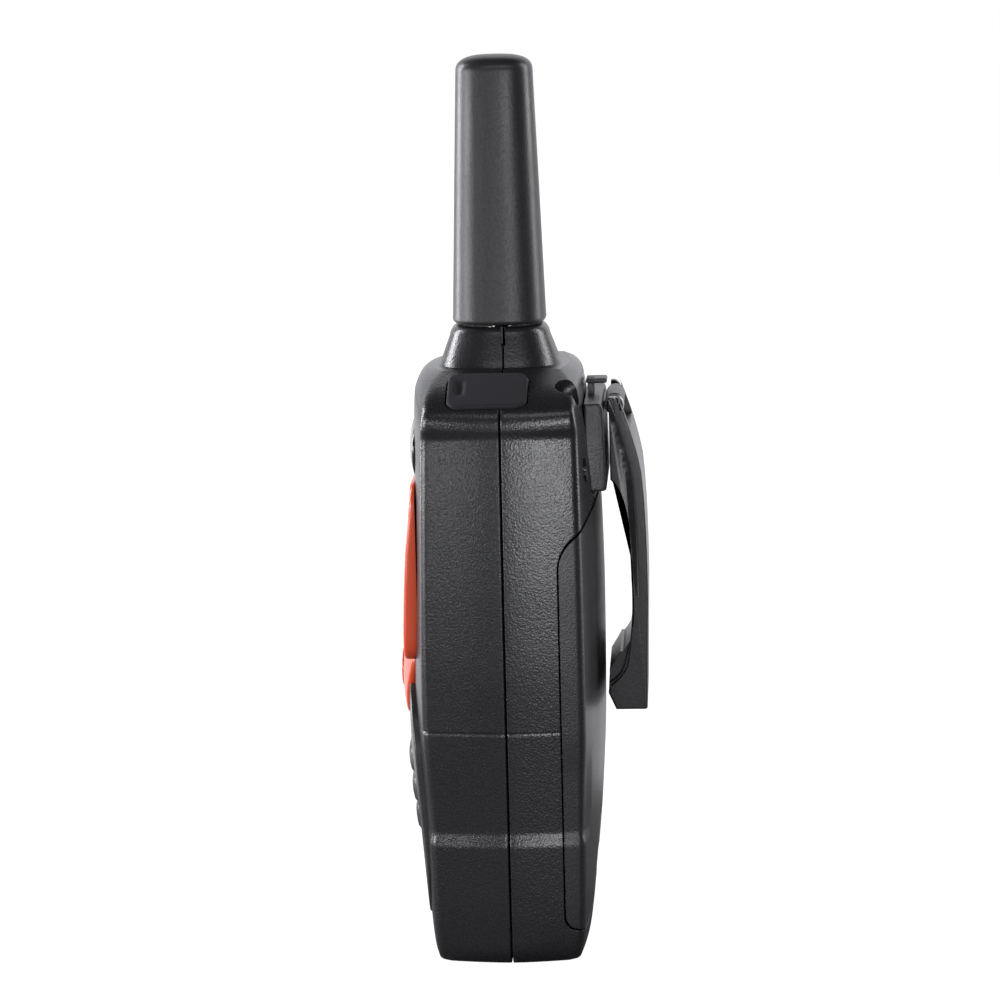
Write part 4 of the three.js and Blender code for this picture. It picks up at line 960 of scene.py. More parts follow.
@dataclass(frozen=True)
class ScreenGlass:
    """The grey-green display under its lens, with faint rows of cells."""

    name: str

    def make(self) -> bpy.types.Material:
        """Builds the material."""
        material, board, shader = start_material(self.name)
        place = board.add("TexCoord").outputs["Object"]
        rows = board.add("TexWave", {"Vector": place, "Scale": 160.0}, bands_direction="Z").outputs["Fac"]
        cloud = board.add("TexNoise", {"Vector": place, "Scale": 90.0, "Detail": 2.0}).outputs["Fac"]
        tone = board.maths("ADD", board.maths("MULTIPLY", rows, 0.12), cloud)
        board.tree.links.new(
            mixed(board, tone, (0.17, 0.21, 0.15), (0.33, 0.39, 0.28)), shader.inputs["Base Color"]
        )
        shader.inputs["Roughness"].default_value = 0.22
        return material


@dataclass(frozen=True)
class CircuitBoard:
    """A circuit board with solder mask over tracks."""

    name: str

    def make(self) -> bpy.types.Material:
        """Builds the material."""
        material, board, shader = start_material(self.name)
        place = board.add("TexCoord").outputs["Object"]
        tracks = board.add(
            "TexBrick", {"Vector": place, "Scale": 260.0, "Mortar Size": 0.035, "Row Height": 0.35}
        )
        mask = board.maths("GREATER_THAN", tracks.outputs["Fac"], 0.5)
        board.tree.links.new(
            mixed(board, mask, (0.008, 0.075, 0.028), (0.02, 0.16, 0.06)), shader.inputs["Base Color"]
        )
        bump = board.add("Bump", {"Height": mask, "Distance": 0.00004})
        board.tree.links.new(bump.outputs["Normal"], shader.inputs["Normal"])
        shader.inputs["Roughness"].default_value = 0.35
        return material


@dataclass(frozen=True)
class CellSleeve:
    """A cell's printed sleeve: one colour with a pale band near the positive end."""

    name: str
    band_from: float
    band_to: float

    def make(self) -> bpy.types.Material:
        """Builds the material."""
        material, board, shader = start_material(self.name)
        place = board.add("TexCoord").outputs["Object"]
        height = board.add("SeparateXYZ", {0: place}).outputs["Z"]
        above = board.maths("GREATER_THAN", height, self.band_from * MM)
        below = board.maths("LESS_THAN", height, self.band_to * MM)
        band = board.maths("MULTIPLY", above, below)
        board.tree.links.new(
            mixed(board, band, (0.03, 0.11, 0.3), (0.75, 0.62, 0.3)), shader.inputs["Base Color"]
        )
        wear = board.add("Group", node_tree=EFFECTS.handling)
        rough = board.maths("ADD", board.maths("MULTIPLY", wear.outputs["Polish"], -0.1), 0.34)
        board.tree.links.new(rough, shader.inputs["Roughness"])
        shader.inputs["Metallic"].default_value = 0.6
        return material


class Finish(Enum):
    """The radio's finishes, by the piece that wears them."""

    HOUSING = MouldedPlastic(
        "housing_grain", (0.0115, 0.0115, 0.0135), 0.3, 0.04, (0.38, 0.026), (0.15, 0.008)
    )
    DOOR = MouldedPlastic("door_sand", (0.0125, 0.0125, 0.0145), 0.38, 0.05, (0.34, 0.02), (0.16, 0.012))
    PANEL = MouldedPlastic(
        "panel_satin", (0.018, 0.018, 0.02), 0.36, 0.06, (0.5, 0.006), (0.2, 0.006), dust=0.1
    )
    AERIAL = MouldedPlastic(
        "aerial_grain", (0.0165, 0.0165, 0.0185), 0.4, 0.05, (0.42, 0.012), (0.16, 0.016), edge=0.12
    )
    RUBBER = MouldedPlastic(
        "soft_rubber", (0.0175, 0.0175, 0.019), 0.56, 0.08, (0.4, 0.003), (0.15, 0.006), 0.35, dust=0.6
    )
    ORANGE = MouldedPlastic(
        "orange_plastic", (0.78, 0.088, 0.022), 0.34, 0.05, (0.5, 0.003), (0.2, 0.002), 0.45, coat=0.15,
        dust=0.1, subsurface=0.12
    )
    CLIP = MouldedPlastic(
        "clip_satin", (0.0125, 0.0125, 0.014), 0.34, 0.06, (0.5, 0.008), (0.2, 0.008), dust=0.2
    )
    BLOCK = MouldedPlastic("block_grain", (0.03, 0.03, 0.033), 0.42, 0.05, (0.42, 0.024), (0.18, 0.014))
    GLOSS = MouldedPlastic(
        "fascia_gloss", (0.012, 0.012, 0.014), 0.2, 0.04, (0.5, 0.002), (0.2, 0.001), coat=0.4,
        coat_roughness=0.1, dust=0.15
    )
    WHITE = MouldedPlastic(
        "white_plastic", (0.72, 0.72, 0.69), 0.4, 0.05, (0.5, 0.004), (0.2, 0.003), dust=0.0
    )
    CONE = MouldedPlastic(
        "cone_paper", (0.03, 0.027, 0.024), 0.85, 0.0, (0.4, 0.02), (0.15, 0.02), 0.2, dust=0.0
    )
    STEEL = PlainMetal("zinc_steel", (0.55, 0.55, 0.56), 0.32)
    NICKEL = PlainMetal("nickel_plate", (0.68, 0.64, 0.57), 0.22, 0.001)
    COPPER = PlainMetal("copper_wire", (0.78, 0.36, 0.18), 0.28, 0.001)
    CLEAR = ClearPlastic("clear_lens")
    CLOTH = WovenCloth("speaker_cloth")
    SCREEN = ScreenGlass("screen_glass")
    BOARD = CircuitBoard("board_mask")
    CELL = CellSleeve("cell_sleeve", 60.0, 68.5)

    def material(self) -> bpy.types.Material:
        """The finish's material, built at first use."""
        return bpy.data.materials.get(self.value.name) or self.value.make()


def dress(
    piece: bpy.types.Object, finish: Finish, body: str, replaced: Sequence[str] = (),
    sharp: float = 32.0
) -> bpy.types.Object:
    """Finishes a piece and hands it to the frame.

    Args:
        piece: The piece.
        finish: What it wears.
        body: The body it moves with.
        replaced: Frame nodes that it stands for.
        sharp: Edges that turn more than this stay crisp.

    Returns:
        The piece.
    """
    piece.data.materials.clear()
    piece.data.materials.append(finish.material())
    settle(piece, sharp)
    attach(piece, body)
    if replaced:
        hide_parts(*replaced)
    LOG.info("%s: %d faces, rides on %s", piece.name, len(piece.data.polygons), body)
    return piece


# ---------------------------------------------------------------- sub-assemblies


@dataclass
class Openings:
    """Outlines and tools shared by the housings and what sits in them.

    Attributes:
        gap: Space between a piece and its opening.
        floor: Depth of the floors of the pockets in the front.
        inside: Depth behind the front wall, where tools that pass through it start.
        frame_size: Width and height of the display frame.
        frame_low: Height of the display frame's foot.
        fascia_size: Width and height of the fascia.
        panel_size: Width and height of the lower panel.
        panel_low: Height of the panel's foot.
        lens_size: Width and height of the display lens.
        lens_z: Height of the lens's middle.
        pad_size: Width and height of the select pad.
        pad_z: Height of the pad's middle.
        pad_room: Space round the rocking pad.
        screws: Places of the case screws in (x, z).
        keys: Width, height, middle and corner radius of each side key.
    """

    gap: float = 0.3
    floor: float = 16.2
    inside: float = 8.0
    frame_size: tuple[float, float] = (40.0, 33.0)
    frame_low: float = 55.6
    fascia_size: tuple[float, float] = (34.0, 9.6)
    panel_size: tuple[float, float] = (46.8, 44.0)
    panel_low: float = 6.5
    lens_size: tuple[float, float] = (29.0, 18.5)
    lens_z: float = 74.5
    pad_size: tuple[float, float] = (29.0, 16.0)
    pad_z: float = 50.0
    pad_room: float = 0.45
    screws: tuple[tuple[float, float], ...] = ((-20.3, 9.6), (20.3, 9.6), (-20.3, 91.0), (20.3, 91.0))
    keys: dict[str, tuple[float, float, float, float]] = field(
        default_factory=lambda: {
            "talk_button": (11.0, 25.0, 78.0, 3.6),
            "call_key": (8.0, 6.0, 59.5, 2.0),
            "power_key": (8.0, 6.0, 51.5, 2.0),
        }
    )

    def frame_outline(self, grow: float = 0.0) -> Outline:
        """The display frame's outline, grown by a gap."""
        width, height = self.frame_size
        return rounded_rectangle(
            width + 2 * grow, height + 2 * grow, 4 + grow, 0, self.frame_low + height / 2
        )

    def fascia_z(self) -> float:
        """Height of the fascia's middle."""
        return self.frame_low + self.frame_size[1] + self.gap + self.fascia_size[1] / 2

    def fascia_outline(self, grow: float = 0.0) -> Outline:
        """The fascia's outline, grown by a gap."""
        width, height = self.fascia_size
        return rounded_rectangle(width + 2 * grow, height + 2 * grow, 4 + grow, 0, self.fascia_z())

    def panel_outline(self, grow: float = 0.0) -> Outline:
        """The lower panel's outline, grown by a gap."""
        width, height = self.panel_size
        return rounded_rectangle(
            width + 2 * grow, height + 2 * grow, 12 + grow, 0, self.panel_low + height / 2, steps=14
        )

    def pad_outline(self, grow: float = 0.0) -> Outline:
        """The select pad's shield outline, grown by a gap."""
        w, h, z = self.pad_size[0] / 2 + grow, self.pad_size[1] / 2 + grow, self.pad_z
        right = [
            ((0, -h), (0.55 * w, -h), (0.75 * w, -0.3 * h)),
            ((0.75 * w, -0.3 * h), (w, 0.2 * h), (w, 0.6 * h)),
            ((w, 0.6 * h), (w, h), (0.72 * w, h)),
        ]
        t = np.linspace(0, 1, 13)[:-1, None]
        path = []
        for corners in right:
            a, b, c = (np.array(corner, float) for corner in corners)
            path.append((1 - t) ** 2 * a + 2 * t * (1 - t) * b + t**2 * c)
        half = np.vstack([*path, [[0.72 * w, h]]])
        whole = np.vstack([half, half[1:][::-1] * (-1, 1)])
        return whole + (0, z)

    def door_outline(self, grow: float = 0.0, far: float = 23.6) -> Outline:
        """The battery door's outline from the right side in (y, z), grown by a gap."""
        edge, foot, radius = 10 - grow, 6.8 - grow, 3.2

        def bend(a: tuple[float, float], b: tuple[float, float], c: tuple[float, float]) -> np.ndarray:
            """Points along a quadratic curve, without its last."""
            t = np.linspace(0, 1, 11)[:-1, None]
            return (1 - t) ** 2 * np.array(a) + 2 * t * (1 - t) * np.array(b) + t**2 * np.array(c)

        parts = [
            np.array([[far, foot]]),
            bend((edge + radius, foot), (edge, foot), (edge, foot + radius)),
            bend((edge, 73.8), (edge, 77.4 + grow), (edge + 3.2, 79.8 + grow)),
            bend((edge + 3.2, 79.8 + grow), (edge + 4.8, 81 + grow), (edge + 6.6, 84.2 + grow)),
            np.array([[edge + 6.6, 84.2 + grow], [edge + 7.4, 85.4 + grow], [far, 85.4 + grow]]),
        ]
        return np.vstack(parts)[::-1]

    def key_opening(self, name: str) -> bpy.types.Object:
        """The opening that a side key moves in, as a tool."""
        width, height, z, radius = self.keys[name]
        outline = rounded_rectangle(width + 2 * self.gap, height + 2 * self.gap, radius + self.gap, 0, z)
        return prism(outline, 21, 34, Facing.LEFT)

    def slots(self, low: float, high: float, count: int = 4) -> list[bpy.types.Object]:
        """The horizontal openings in front of the speaker, as tools."""
        tools = []
        for i in range(count):
            half = 16 - (5 if i == count - 1 else 1.5)
            outline = rounded_rectangle(2 * half, 0.9, 0.44, 0, 38.85 - i * 5.7, steps=4)
            tools.append(prism(outline, low, high))
        return tools


@dataclass
class ShoulderCover:
    """The rubber cover over the sockets, in its own frame on the right shoulder.

    Attributes:
        place: Middle of its seat.
        slope: Downward slope of the shoulder, in degrees.
        length: Size down the slope.
        width: Size from front to back.
        thickness: Thickness.
        seat: Depth of its seat.
    """

    place: tuple[float, float, float] = (21.2, -2.4, 105.7)
    slope: float = 24.5
    length: float = 11.0
    width: float = 14.4
    thickness: float = 1.4
    seat: float = 0.7

    def tilted(self, piece: bpy.types.Object) -> bpy.types.Object:
        """Turns a piece drawn round the origin down the slope and moves it to the shoulder."""
        turn = Matrix.Rotation(math.radians(self.slope), 4, "Y")
        home = Matrix.Translation(Vector(self.place) * MM) @ turn @ Matrix.Translation((0, -SEAM_Y * MM, 0))
        piece.data.transform(Matrix.Translation((0, SEAM_Y * MM, 0)) @ home)
        return piece

    def seat_tools(self) -> list[bpy.types.Object]:
        """The seat and the pocket under it, as tools."""
        seat = rounded_rectangle(self.length + 0.6, self.width + 0.6, 2.2)
        pocket = rounded_rectangle(self.length - 3.4, self.width - 3.4, 1.4)
        return [
            self.tilted(prism(seat, -self.seat - 0.15, 6, Facing.UP)),
            self.tilted(prism(pocket, -6, 0, Facing.UP)),
        ]

    def build(self) -> None:
        """Builds the cover: crowned plate, nail notch, and a plug hollowed underneath."""
        outline = rounded_rectangle(self.length, self.width, 2.0, steps=10)
        top = self.thickness - self.seat

        def crown(u: np.ndarray, v: np.ndarray) -> np.ndarray:
            """A very slight crown, with a dip for a fingernail near the front edge."""
            across = np.exp(-(((u + 0.4) / 2.2) ** 4))
            along = np.exp(-(((v + self.width / 2 - 2.2) / 0.75) ** 4))
            dip = 0.55 * across * along
            return top - 0.1 * (u / self.length * 2) ** 2 - 0.1 * (v / self.width * 2) ** 2 - dip

        plate = Plate(
            dense(outline, 0.45), -self.seat, crown, 0.42, Facing.UP, rings=26, rim_steps=5
        ).build("jack_flap")
        plug = rounded_rectangle(self.length - 4.6, self.width - 4.6, 1.2)
        lip = rounded_rectangle(self.length - 5.4, self.width - 5.4, 1.0)
        carve(plate, [prism(plug, -self.seat - 0.75, -self.seat + 0.2, Facing.UP)], "UNION")
        carve(plate, [prism(inset(lip, 0.6), -self.seat - 1, -self.seat - 0.3, Facing.UP)])
        dress(self.tilted(plate), Finish.RUBBER, "jack_cover", ["jack_cover"], 40)


@dataclass
class Housing:
    """The two housing halves with their collar, and the case screws.

    Attributes:
        collar_height: Height of the collar.
        collar_base: Half depth of the collar at its foot.
        collar_top: Half depth of the collar at its top.
        openings: Openings cut in the halves.
        cover: The shoulder cover whose seat is cut.
        post_radius: Radius of the screw posts.
        bore_radius: Radius of the screws' bores.
        head_radius: Radius of the recesses over the screws' heads.
    """

    openings: Openings
    cover: ShoulderCover
    collar_height: float = 7.2
    collar_base: float = 11.1
    collar_top: float = 8.8
    post_radius: float = 2.4
    bore_radius: float = 1.15
    head_radius: float = 2.2

    def collar(self) -> bpy.types.Object:
        """The tapered collar with a flared foot, a rounded top edge and a notch over the seam."""
        top = FORM.top + self.collar_height
        steps = [
            (FORM.top - 1.6, self.collar_base + 1.0), (FORM.top - 0.5, self.collar_base + 0.7),
            (FORM.top + 0.1, self.collar_base + 0.25), (FORM.top + 0.7, self.collar_base - 0.12),
            (FORM.top + 1.6, self.collar_base - 0.5), (FORM.top + 3.2, self.collar_base - 1.08),
            (top - 2.2, self.collar_top + 0.52), (top - 1.3, self.collar_top + 0.3),
            (top - 0.75, self.collar_top), (top - 0.4, self.collar_top - 0.3),
            (top - 0.14, self.collar_top - 0.68), (top, self.collar_top - 1.2),
            (top - 0.05, self.collar_top - 2.2), (top - 0.35, self.collar_top - 2.5),
            (top - 0.4, self.collar_top - 5),
        ]
        collar = loft("collar", [soft_square(r * 0.95, r, z) for z, r in steps])
        notches = [block((s * 8.6 - 1.6, -0.42, top - 3.2), (s * 8.6 + 1.6, 0.42, top + 1)) for s in (-1, 1)]
        return carve(collar, notches)

    def posts(self, radius: float, low: float, high: float, sides: int = 24) -> list[bpy.types.Object]:
        """The screw posts or their holes, as tools along the depth."""
        return [rod(radius, (x, low, z), high - low, Facing.BACK, sides) for x, z in self.openings.screws]

    def half(self, front: bool) -> bpy.types.Object:
        """One half as a hollow shell with its part of the collar."""
        name = "front_shell" if front else "rear_shell"
        shell = loft(name, [FORM.half_ring(z, front) for z in FORM.levels()])
        low, high = (-60.0, -SEAM_GAP) if front else (SEAM_GAP, 60.0)
        side = block((-60, low, -5), (60, high, 200))
        collar = carve(self.collar(), [side], "INTERSECT")
        carve(shell, [collar], "UNION")
        return carve(shell, [FORM.cavity()])

    def shared_tools(self) -> list[bpy.types.Object]:
        """Tools that cut both halves: aerial hole, cover seat and side keys."""
        hole = rod(2.5, (0, -1.0, FORM.top - 8), 20, Facing.UP, 32)
        return [
            hole, *self.cover.seat_tools(), *[self.openings.key_opening(key) for key in self.openings.keys]
        ]

    def panel_recess(self) -> bpy.types.Object:
        """The shallow recess that the lower panel sits in, as a tool."""
        tool = prism(dense(self.openings.panel_outline(self.openings.gap), 2), 5, BEYOND)
        return carve(tool, [FORM.solid(-0.75)])

    def build_front(self) -> None:
        """Builds the front half with its window, pockets, slots and posts."""
        made = self.openings
        shell = self.half(True)
        inner = FORM.solid(-1.0)
        posts = [
            carve(post, [copy_of(inner)], "INTERSECT")
            for post in self.posts(self.post_radius, -16.5, -SEAM_GAP)
        ]
        bpy.data.objects.remove(inner)
        carve(shell, posts, "UNION")
        lens = rounded_rectangle(made.lens_size[0] - 2, made.lens_size[1] - 2, 1.5, 0, made.lens_z)
        tools = [
            *self.posts(self.bore_radius, -10, 5),
            prism(made.frame_outline(made.gap), made.floor, BEYOND),
            prism(made.fascia_outline(made.gap), made.floor, BEYOND),
            self.panel_recess(),
            prism(lens, made.inside, BEYOND),
            prism(made.pad_outline(made.pad_room), made.inside, BEYOND),
            *made.slots(made.inside, BEYOND),
            rod(0.9, (-9, -8, made.fascia_z()), 20, Facing.FRONT, 16),
            rod(1.4, (9, -8, made.fascia_z()), 20, Facing.FRONT, 20),
            *self.shared_tools(),
        ]
        carve(shell, tools)
        dress(shell, Finish.HOUSING, "housing", ["front_housing"])

    def build_rear(self) -> None:
        """Builds the rear half with its battery bay, clip pocket, rail, posts and strap scoop."""
        made = self.openings
        shell = self.half(False)
        door_zone = prism(made.door_outline(made.gap), -BEYOND, BEYOND, Facing.RIGHT)
        inner = FORM.solid(-1.0)
        posts = [
            carve(post, [copy_of(inner)], "INTERSECT")
            for post in self.posts(self.post_radius, SEAM_GAP, 20)
        ]
        bay = carve(block((-23.15, -2.9, 17.8), (23.15, 30, 75.8)), [FORM.solid(-2.4)], "INTERSECT")
        pocket = carve(block((-18, 12.4, 80), (18, 30, 105.4)), [FORM.solid(-0.2)], "INTERSECT")
        ties = [block((-BEYOND, 1, z), (BEYOND, 8, z + 1.2)) for z in (30, 42.6)]
        ties = [carve(tie, [copy_of(inner)], "INTERSECT") for tie in ties]
        bpy.data.objects.remove(inner)
        carve(shell, [*posts, pocket, *ties], "UNION")
        carve(shell, [door_zone])
        carve(shell, [bay], "UNION")
        scoop_ring = [
            soft_square(r, r, 0, 0, 40, 2.0) + (0, 0, h)
            for h, r in ((-4.2, 0.6), (-3.6, 1.7), (-2, 2.7), (0, 3.3), (5, 5.2))
        ]
        scoop = loft("scoop", scoop_ring)
        turn = Matrix.Rotation(math.radians(28), 4, "Y") @ Matrix.Rotation(math.radians(-52), 4, "X")
        scoop.data.transform(Matrix.Translation((0, -SEAM_Y * MM, 0)))
        scoop.data.transform(Matrix.Translation(Vector((19.6, 12.9 + SEAM_Y, 105.6)) * MM) @ turn)
        tools = [
            block((-21.95, -1.7, 19.0), (21.95, BEYOND, 74.6)),
            block((-15.3, 14.4, 85.8), (15.3, BEYOND, 113.4)),
            *self.posts(self.bore_radius, -5, 20),
            *self.posts(self.head_radius, 8.4, 20),
            scoop,
            *self.shared_tools(),
        ]
        carve(shell, tools)
        carve(
            shell, [block((-4, 13.4, 88), (4, 16.5, 99.2)), block((-6.5, 16, 88), (6.5, 17.1, 99.2))],
            "UNION"
        )
        dress(shell, Finish.HOUSING, "housing", ["rear_housing"])

    def build_screws(self) -> None:
        """Builds the case screws: domed heads with a cross recess and a threaded shank."""
        for number, (x, z) in enumerate(self.openings.screws, 1):
            steps = [(-6.5, 0.5), (-6.0, 0.95)]
            for i in range(16):
                low = -5.6 + i * 0.86
                steps += [(low, 0.86), (low + 0.43, 1.05)]
            steps += [(8.3, 0.95), (8.5, 1.9), (8.9, 1.9), (9.3, 1.55), (9.55, 0.9)]
            turn = np.linspace(0, 2 * math.pi, 28, endpoint=False)
            rings = [
                np.column_stack([x + r * np.cos(turn), np.full(28, y), z + r * np.sin(turn)])
                for y, r in steps
            ]
            screw = loft(f"case_screw_{number}", [ring[::-1] for ring in rings])
            cross = [block((x - a, 8.95, z - b), (x + a, 11, z + b)) for a, b in ((0.24, 1.0), (1.0, 0.24))]
            carve(screw, cross)
            dress(screw, Finish.STEEL, "housing", [f"housing_screw_{number}"])

    def build(self) -> None:
        """Builds both halves and the screws."""
        self.build_front()
        self.build_rear()
        self.build_screws()


@dataclass
class FrontFace:
    """What sits on the front: display frame, lens, fascia, select pad, lower panel and bars.

    Attributes:
        openings: Outlines of the pieces.
        bar_pitch: Distance between bars.
        bar_top: Height of the first bar's top.
    """

    openings: Openings
    bar_pitch: float = 5.7
    bar_top: float = 38.4

    def frame_face(self, u: np.ndarray, v: np.ndarray) -> np.ndarray:
        """The display frame's face: leans out towards its foot and is slightly crowned."""
        lean = Curve(((55, 19.2), (60.6, 19.18), (66, 19.0), (75, 18.5), (84, 17.6), (88.6, 17.3)))
        return lean(v) - 0.25 * (np.abs(u) / 20) ** 3

    def build_frame(self) -> None:
        """Builds the bright display frame with a chamfered window."""
        made = self.openings
        plate = Plate(
            dense(made.frame_outline(), 1.2), made.floor + 0.05, self.frame_face, 0.75, rings=12,
            rim_steps=6
        )
        bezel = plate.build("display_bezel")
        window = rounded_rectangle(made.lens_size[0] - 4, made.lens_size[1] - 4, 1.5, 0, made.lens_z)
        seat = rounded_rectangle(made.lens_size[0] - 1.4, made.lens_size[1] - 1.4, 1.9, 0, made.lens_z)
        tools = [
            prism(window, 10, 30),
            prism(inset(window, -0.05), 17.4, 20.4, flare=1.9),
            prism(seat, 10, 17.6),
            prism(made.pad_outline(made.pad_room), 10, 30),
        ]
        carve(bezel, tools)
        dress(bezel, Finish.ORANGE, "housing", ["display_frame"])
        lens_outline = rounded_rectangle(made.lens_size[0] - 2, made.lens_size[1] - 2, 1.6, 0, made.lens_z)
        lens = Plate(
            lens_outline, 16.35, lambda u, v: 17.55 - 0.05 * (u / 14.5) ** 2, 0.25
        ).build("window_lens")
        dress(lens, Finish.CLEAR, "housing", ["display_lens"])

    def build_digits(self) -> None:
        """Builds a generic two-figure reading on the screen from seven-segment strokes."""
        strokes = {
            "a": (0, 3.0, 2.4, 0.55), "b": (1.35, 1.55, 0.55, 2.4), "c": (1.35, -1.55, 0.55, 2.4),
            "d": (0, -3.0, 2.4, 0.55), "e": (-1.35, -1.55, 0.55, 2.4), "f": (-1.35, 1.55, 0.55, 2.4),
            "g": (0, 0, 2.4, 0.55),
        }
        shown = {-3.2: "bc", 3.2: "abcdefg"}
        points: list[np.ndarray] = []
        faces: list[tuple[int, ...]] = []
        for centre, lit in shown.items():
            for key in lit:
                u, v, width, height = strokes[key]
                outline = rounded_rectangle(
                    width, height, 0.26, centre + u, self.openings.lens_z + v, steps=3
                )
                base = sum(len(p) for p in points)
                low = facing_points(outline, 14.02, Facing.FRONT)
                high = facing_points(outline, 14.9, Facing.FRONT)
                count = len(outline)
                points += [low, high]
                faces.append(tuple(base + count + j for j in range(count)))
                faces.append(tuple(base + count - 1 - j for j in range(count)))
                for j in range(count):
                    k = (j + 1) % count
                    faces.append((base + j, base + k, base + count + k, base + count + j))
        digits = mesh_object("screen_digits", np.vstack(points), faces)
        dress(digits, Finish.GLOSS, "housing")

    def build_fascia(self) -> None:
        """Builds the dark bulging fascia over the display, with a sound hole and a lamp seat."""
        made = self.openings
        middle = made.fascia_z()

        def bulge(u: np.ndarray, v: np.ndarray) -> np.ndarray:
            """Bulges most across its middle."""
            return 18.0 - 1.35 * (np.abs(u) / 17) ** 2 - 0.8 * (np.abs(v - middle) / 4.8) ** 2.4

        fascia = Plate(
            dense(made.fascia_outline(), 0.8), made.floor + 0.05, bulge, 0.45, rings=12
        ).build("brow_fascia")
        carve(
            fascia,
            [
                rod(0.9, (-9, -10, middle), 20, Facing.FRONT, 20),
                rod(1.4, (9, -10, middle), 20, Facing.FRONT, 28),
            ]
        )
        dress(fascia, Finish.GLOSS, "housing", ["front_fascia"])
        lamp = rod(1.1, (9, -11.8, middle), 5.6, Facing.FRONT, 24, 0.3)
        lamp.name = "lamp_pipe"
        dress(lamp, Finish.CLEAR, "housing", ["status_lamp"])

    def pad_face(self, u: np.ndarray, v: np.ndarray) -> np.ndarray:
        """The select pad's face: crowned both ways."""
        low = (v - self.openings.pad_z + 0.5) ** 2 / 60
        return 20.6 - low - u**2 / 92

    def build_pad(self) -> None:
        """Builds the rocking pad with raised arrowheads, and the button in its middle."""
        made = self.openings
        pad = Plate(
            dense(made.pad_outline(), 0.7), 15.0, self.pad_face, 0.9, rings=14, rim_steps=6
        ).build("rocker_pad")
        well = rod(3.9, (0, -10, made.pad_z + 0.5), 20, Facing.FRONT, 48)
        carve(pad, [well])
        arrows = []
        for sign in (1, -1):
            tip = made.pad_z + 0.5 + sign * 6.4
            base = made.pad_z + 0.5 + sign * 4.9
            corners = np.array([[-1.5, base], [1.5, base], [0, tip]])
            outline = dense(corners if sign > 0 else corners[::-1], 0.4)
            arrows.append(
                Plate(
                    outline, 17.5, lambda u, v: self.pad_face(u, v) + 0.16, 0.1, rings=4, rim_steps=2
                ).build("arrow")
            )
        carve(pad, arrows, "UNION")
        dress(pad, Finish.ORANGE, "select_pad", ["select_pad"])
        turn = np.linspace(0, 2 * math.pi, 48, endpoint=False)
        disc = 3.6 * np.column_stack([np.cos(turn), np.sin(turn)]) + (0, made.pad_z + 0.5)

        def dish(u: np.ndarray, v: np.ndarray) -> np.ndarray:
            """A shallow dish for a fingertip."""
            return 20.55 + 0.25 * ((u**2 + (v - made.pad_z - 0.5) ** 2) / 3.6**2)

        button = Plate(disc, 15.1, dish, 0.4, rings=8).build("rocker_button")
        dress(button, Finish.ORANGE, "select_button", ["select_button"])

    def panel_face(self, proud: float) -> Depth:
        """The panel's face: further out from the housing towards its top, plus a given rise."""
        rise = Curve(((6.5, 0.3), (16, 0.5), (30, 0.85), (44.5, 1.1), (51, 1.1)))
        return lambda u, v: -FORM.front_y(u, v) + rise(v) + proud

    def build_panel(self) -> None:
        """Builds the lower panel with its three rounded bars and the speaker's slots."""
        made = self.openings
        outline = dense(made.panel_outline(), 1.0)
        face = self.panel_face(0.0)
        rings = [facing_points(outline, -FORM.front_y(outline[:, 0], outline[:, 1]) - 0.5, Facing.FRONT)]
        for i in range(5):
            turn = math.radians(90 * i / 4)
            flat = inset(outline, 0.35 * (1 - math.cos(turn)))
            rings.append(
                facing_points(flat, face(flat[:, 0], flat[:, 1]) - 0.35 * (1 - math.sin(turn)), Facing.FRONT)
            )
        centre = flat.mean(axis=0)
        shares = np.linspace(1, 0.03, 22)[1:]
        for share in shares:
            inner = centre + (flat - centre) * share
            rings.append(facing_points(inner, face(inner[:, 0], inner[:, 1]), Facing.FRONT))
        for share in shares[::-1]:
            inner = centre + (flat - centre) * share
            rings.append(facing_points(inner, -FORM.front_y(inner[:, 0], inner[:, 1]) - 0.5, Facing.FRONT))
        panel = loft("front_panel", rings)
        bars = []
        for i in range(3):
            z = self.bar_top - self.bar_pitch / 2 + 0.45 - i * self.bar_pitch
            half = 16 - (2 if i == 2 else 0)
            shape = dense(rounded_rectangle(2 * half, self.bar_pitch - 0.9, 2.2, 0, z), 0.8)

            def hump(u: np.ndarray, v: np.ndarray, half: float = half, z: float = z) -> np.ndarray:
                """The bar's face, which runs out into the panel at both ends."""
                return face(u, v) + 0.75 * ease((half - np.abs(u)) / 3.6 + 0.05) - 0.25 * ((v - z) / 2.4) ** 2

            bars.append(Plate(shape, made.floor, hump, 0.5, rings=12).build("bar"))
        carve(panel, bars, "UNION")
        tools = [
            *made.slots(10, BEYOND),
            prism(made.pad_outline(made.pad_room), 10, BEYOND),
            prism(made.frame_outline(made.gap), 10, BEYOND),
        ]
        carve(panel, tools)
        dress(panel, Finish.PANEL, "housing", ["lower_panel"])

    def build(self) -> None:
        """Builds every front piece."""
        self.build_frame()
        self.build_digits()
        self.build_fascia()
        self.build_pad()
        self.build_panel()


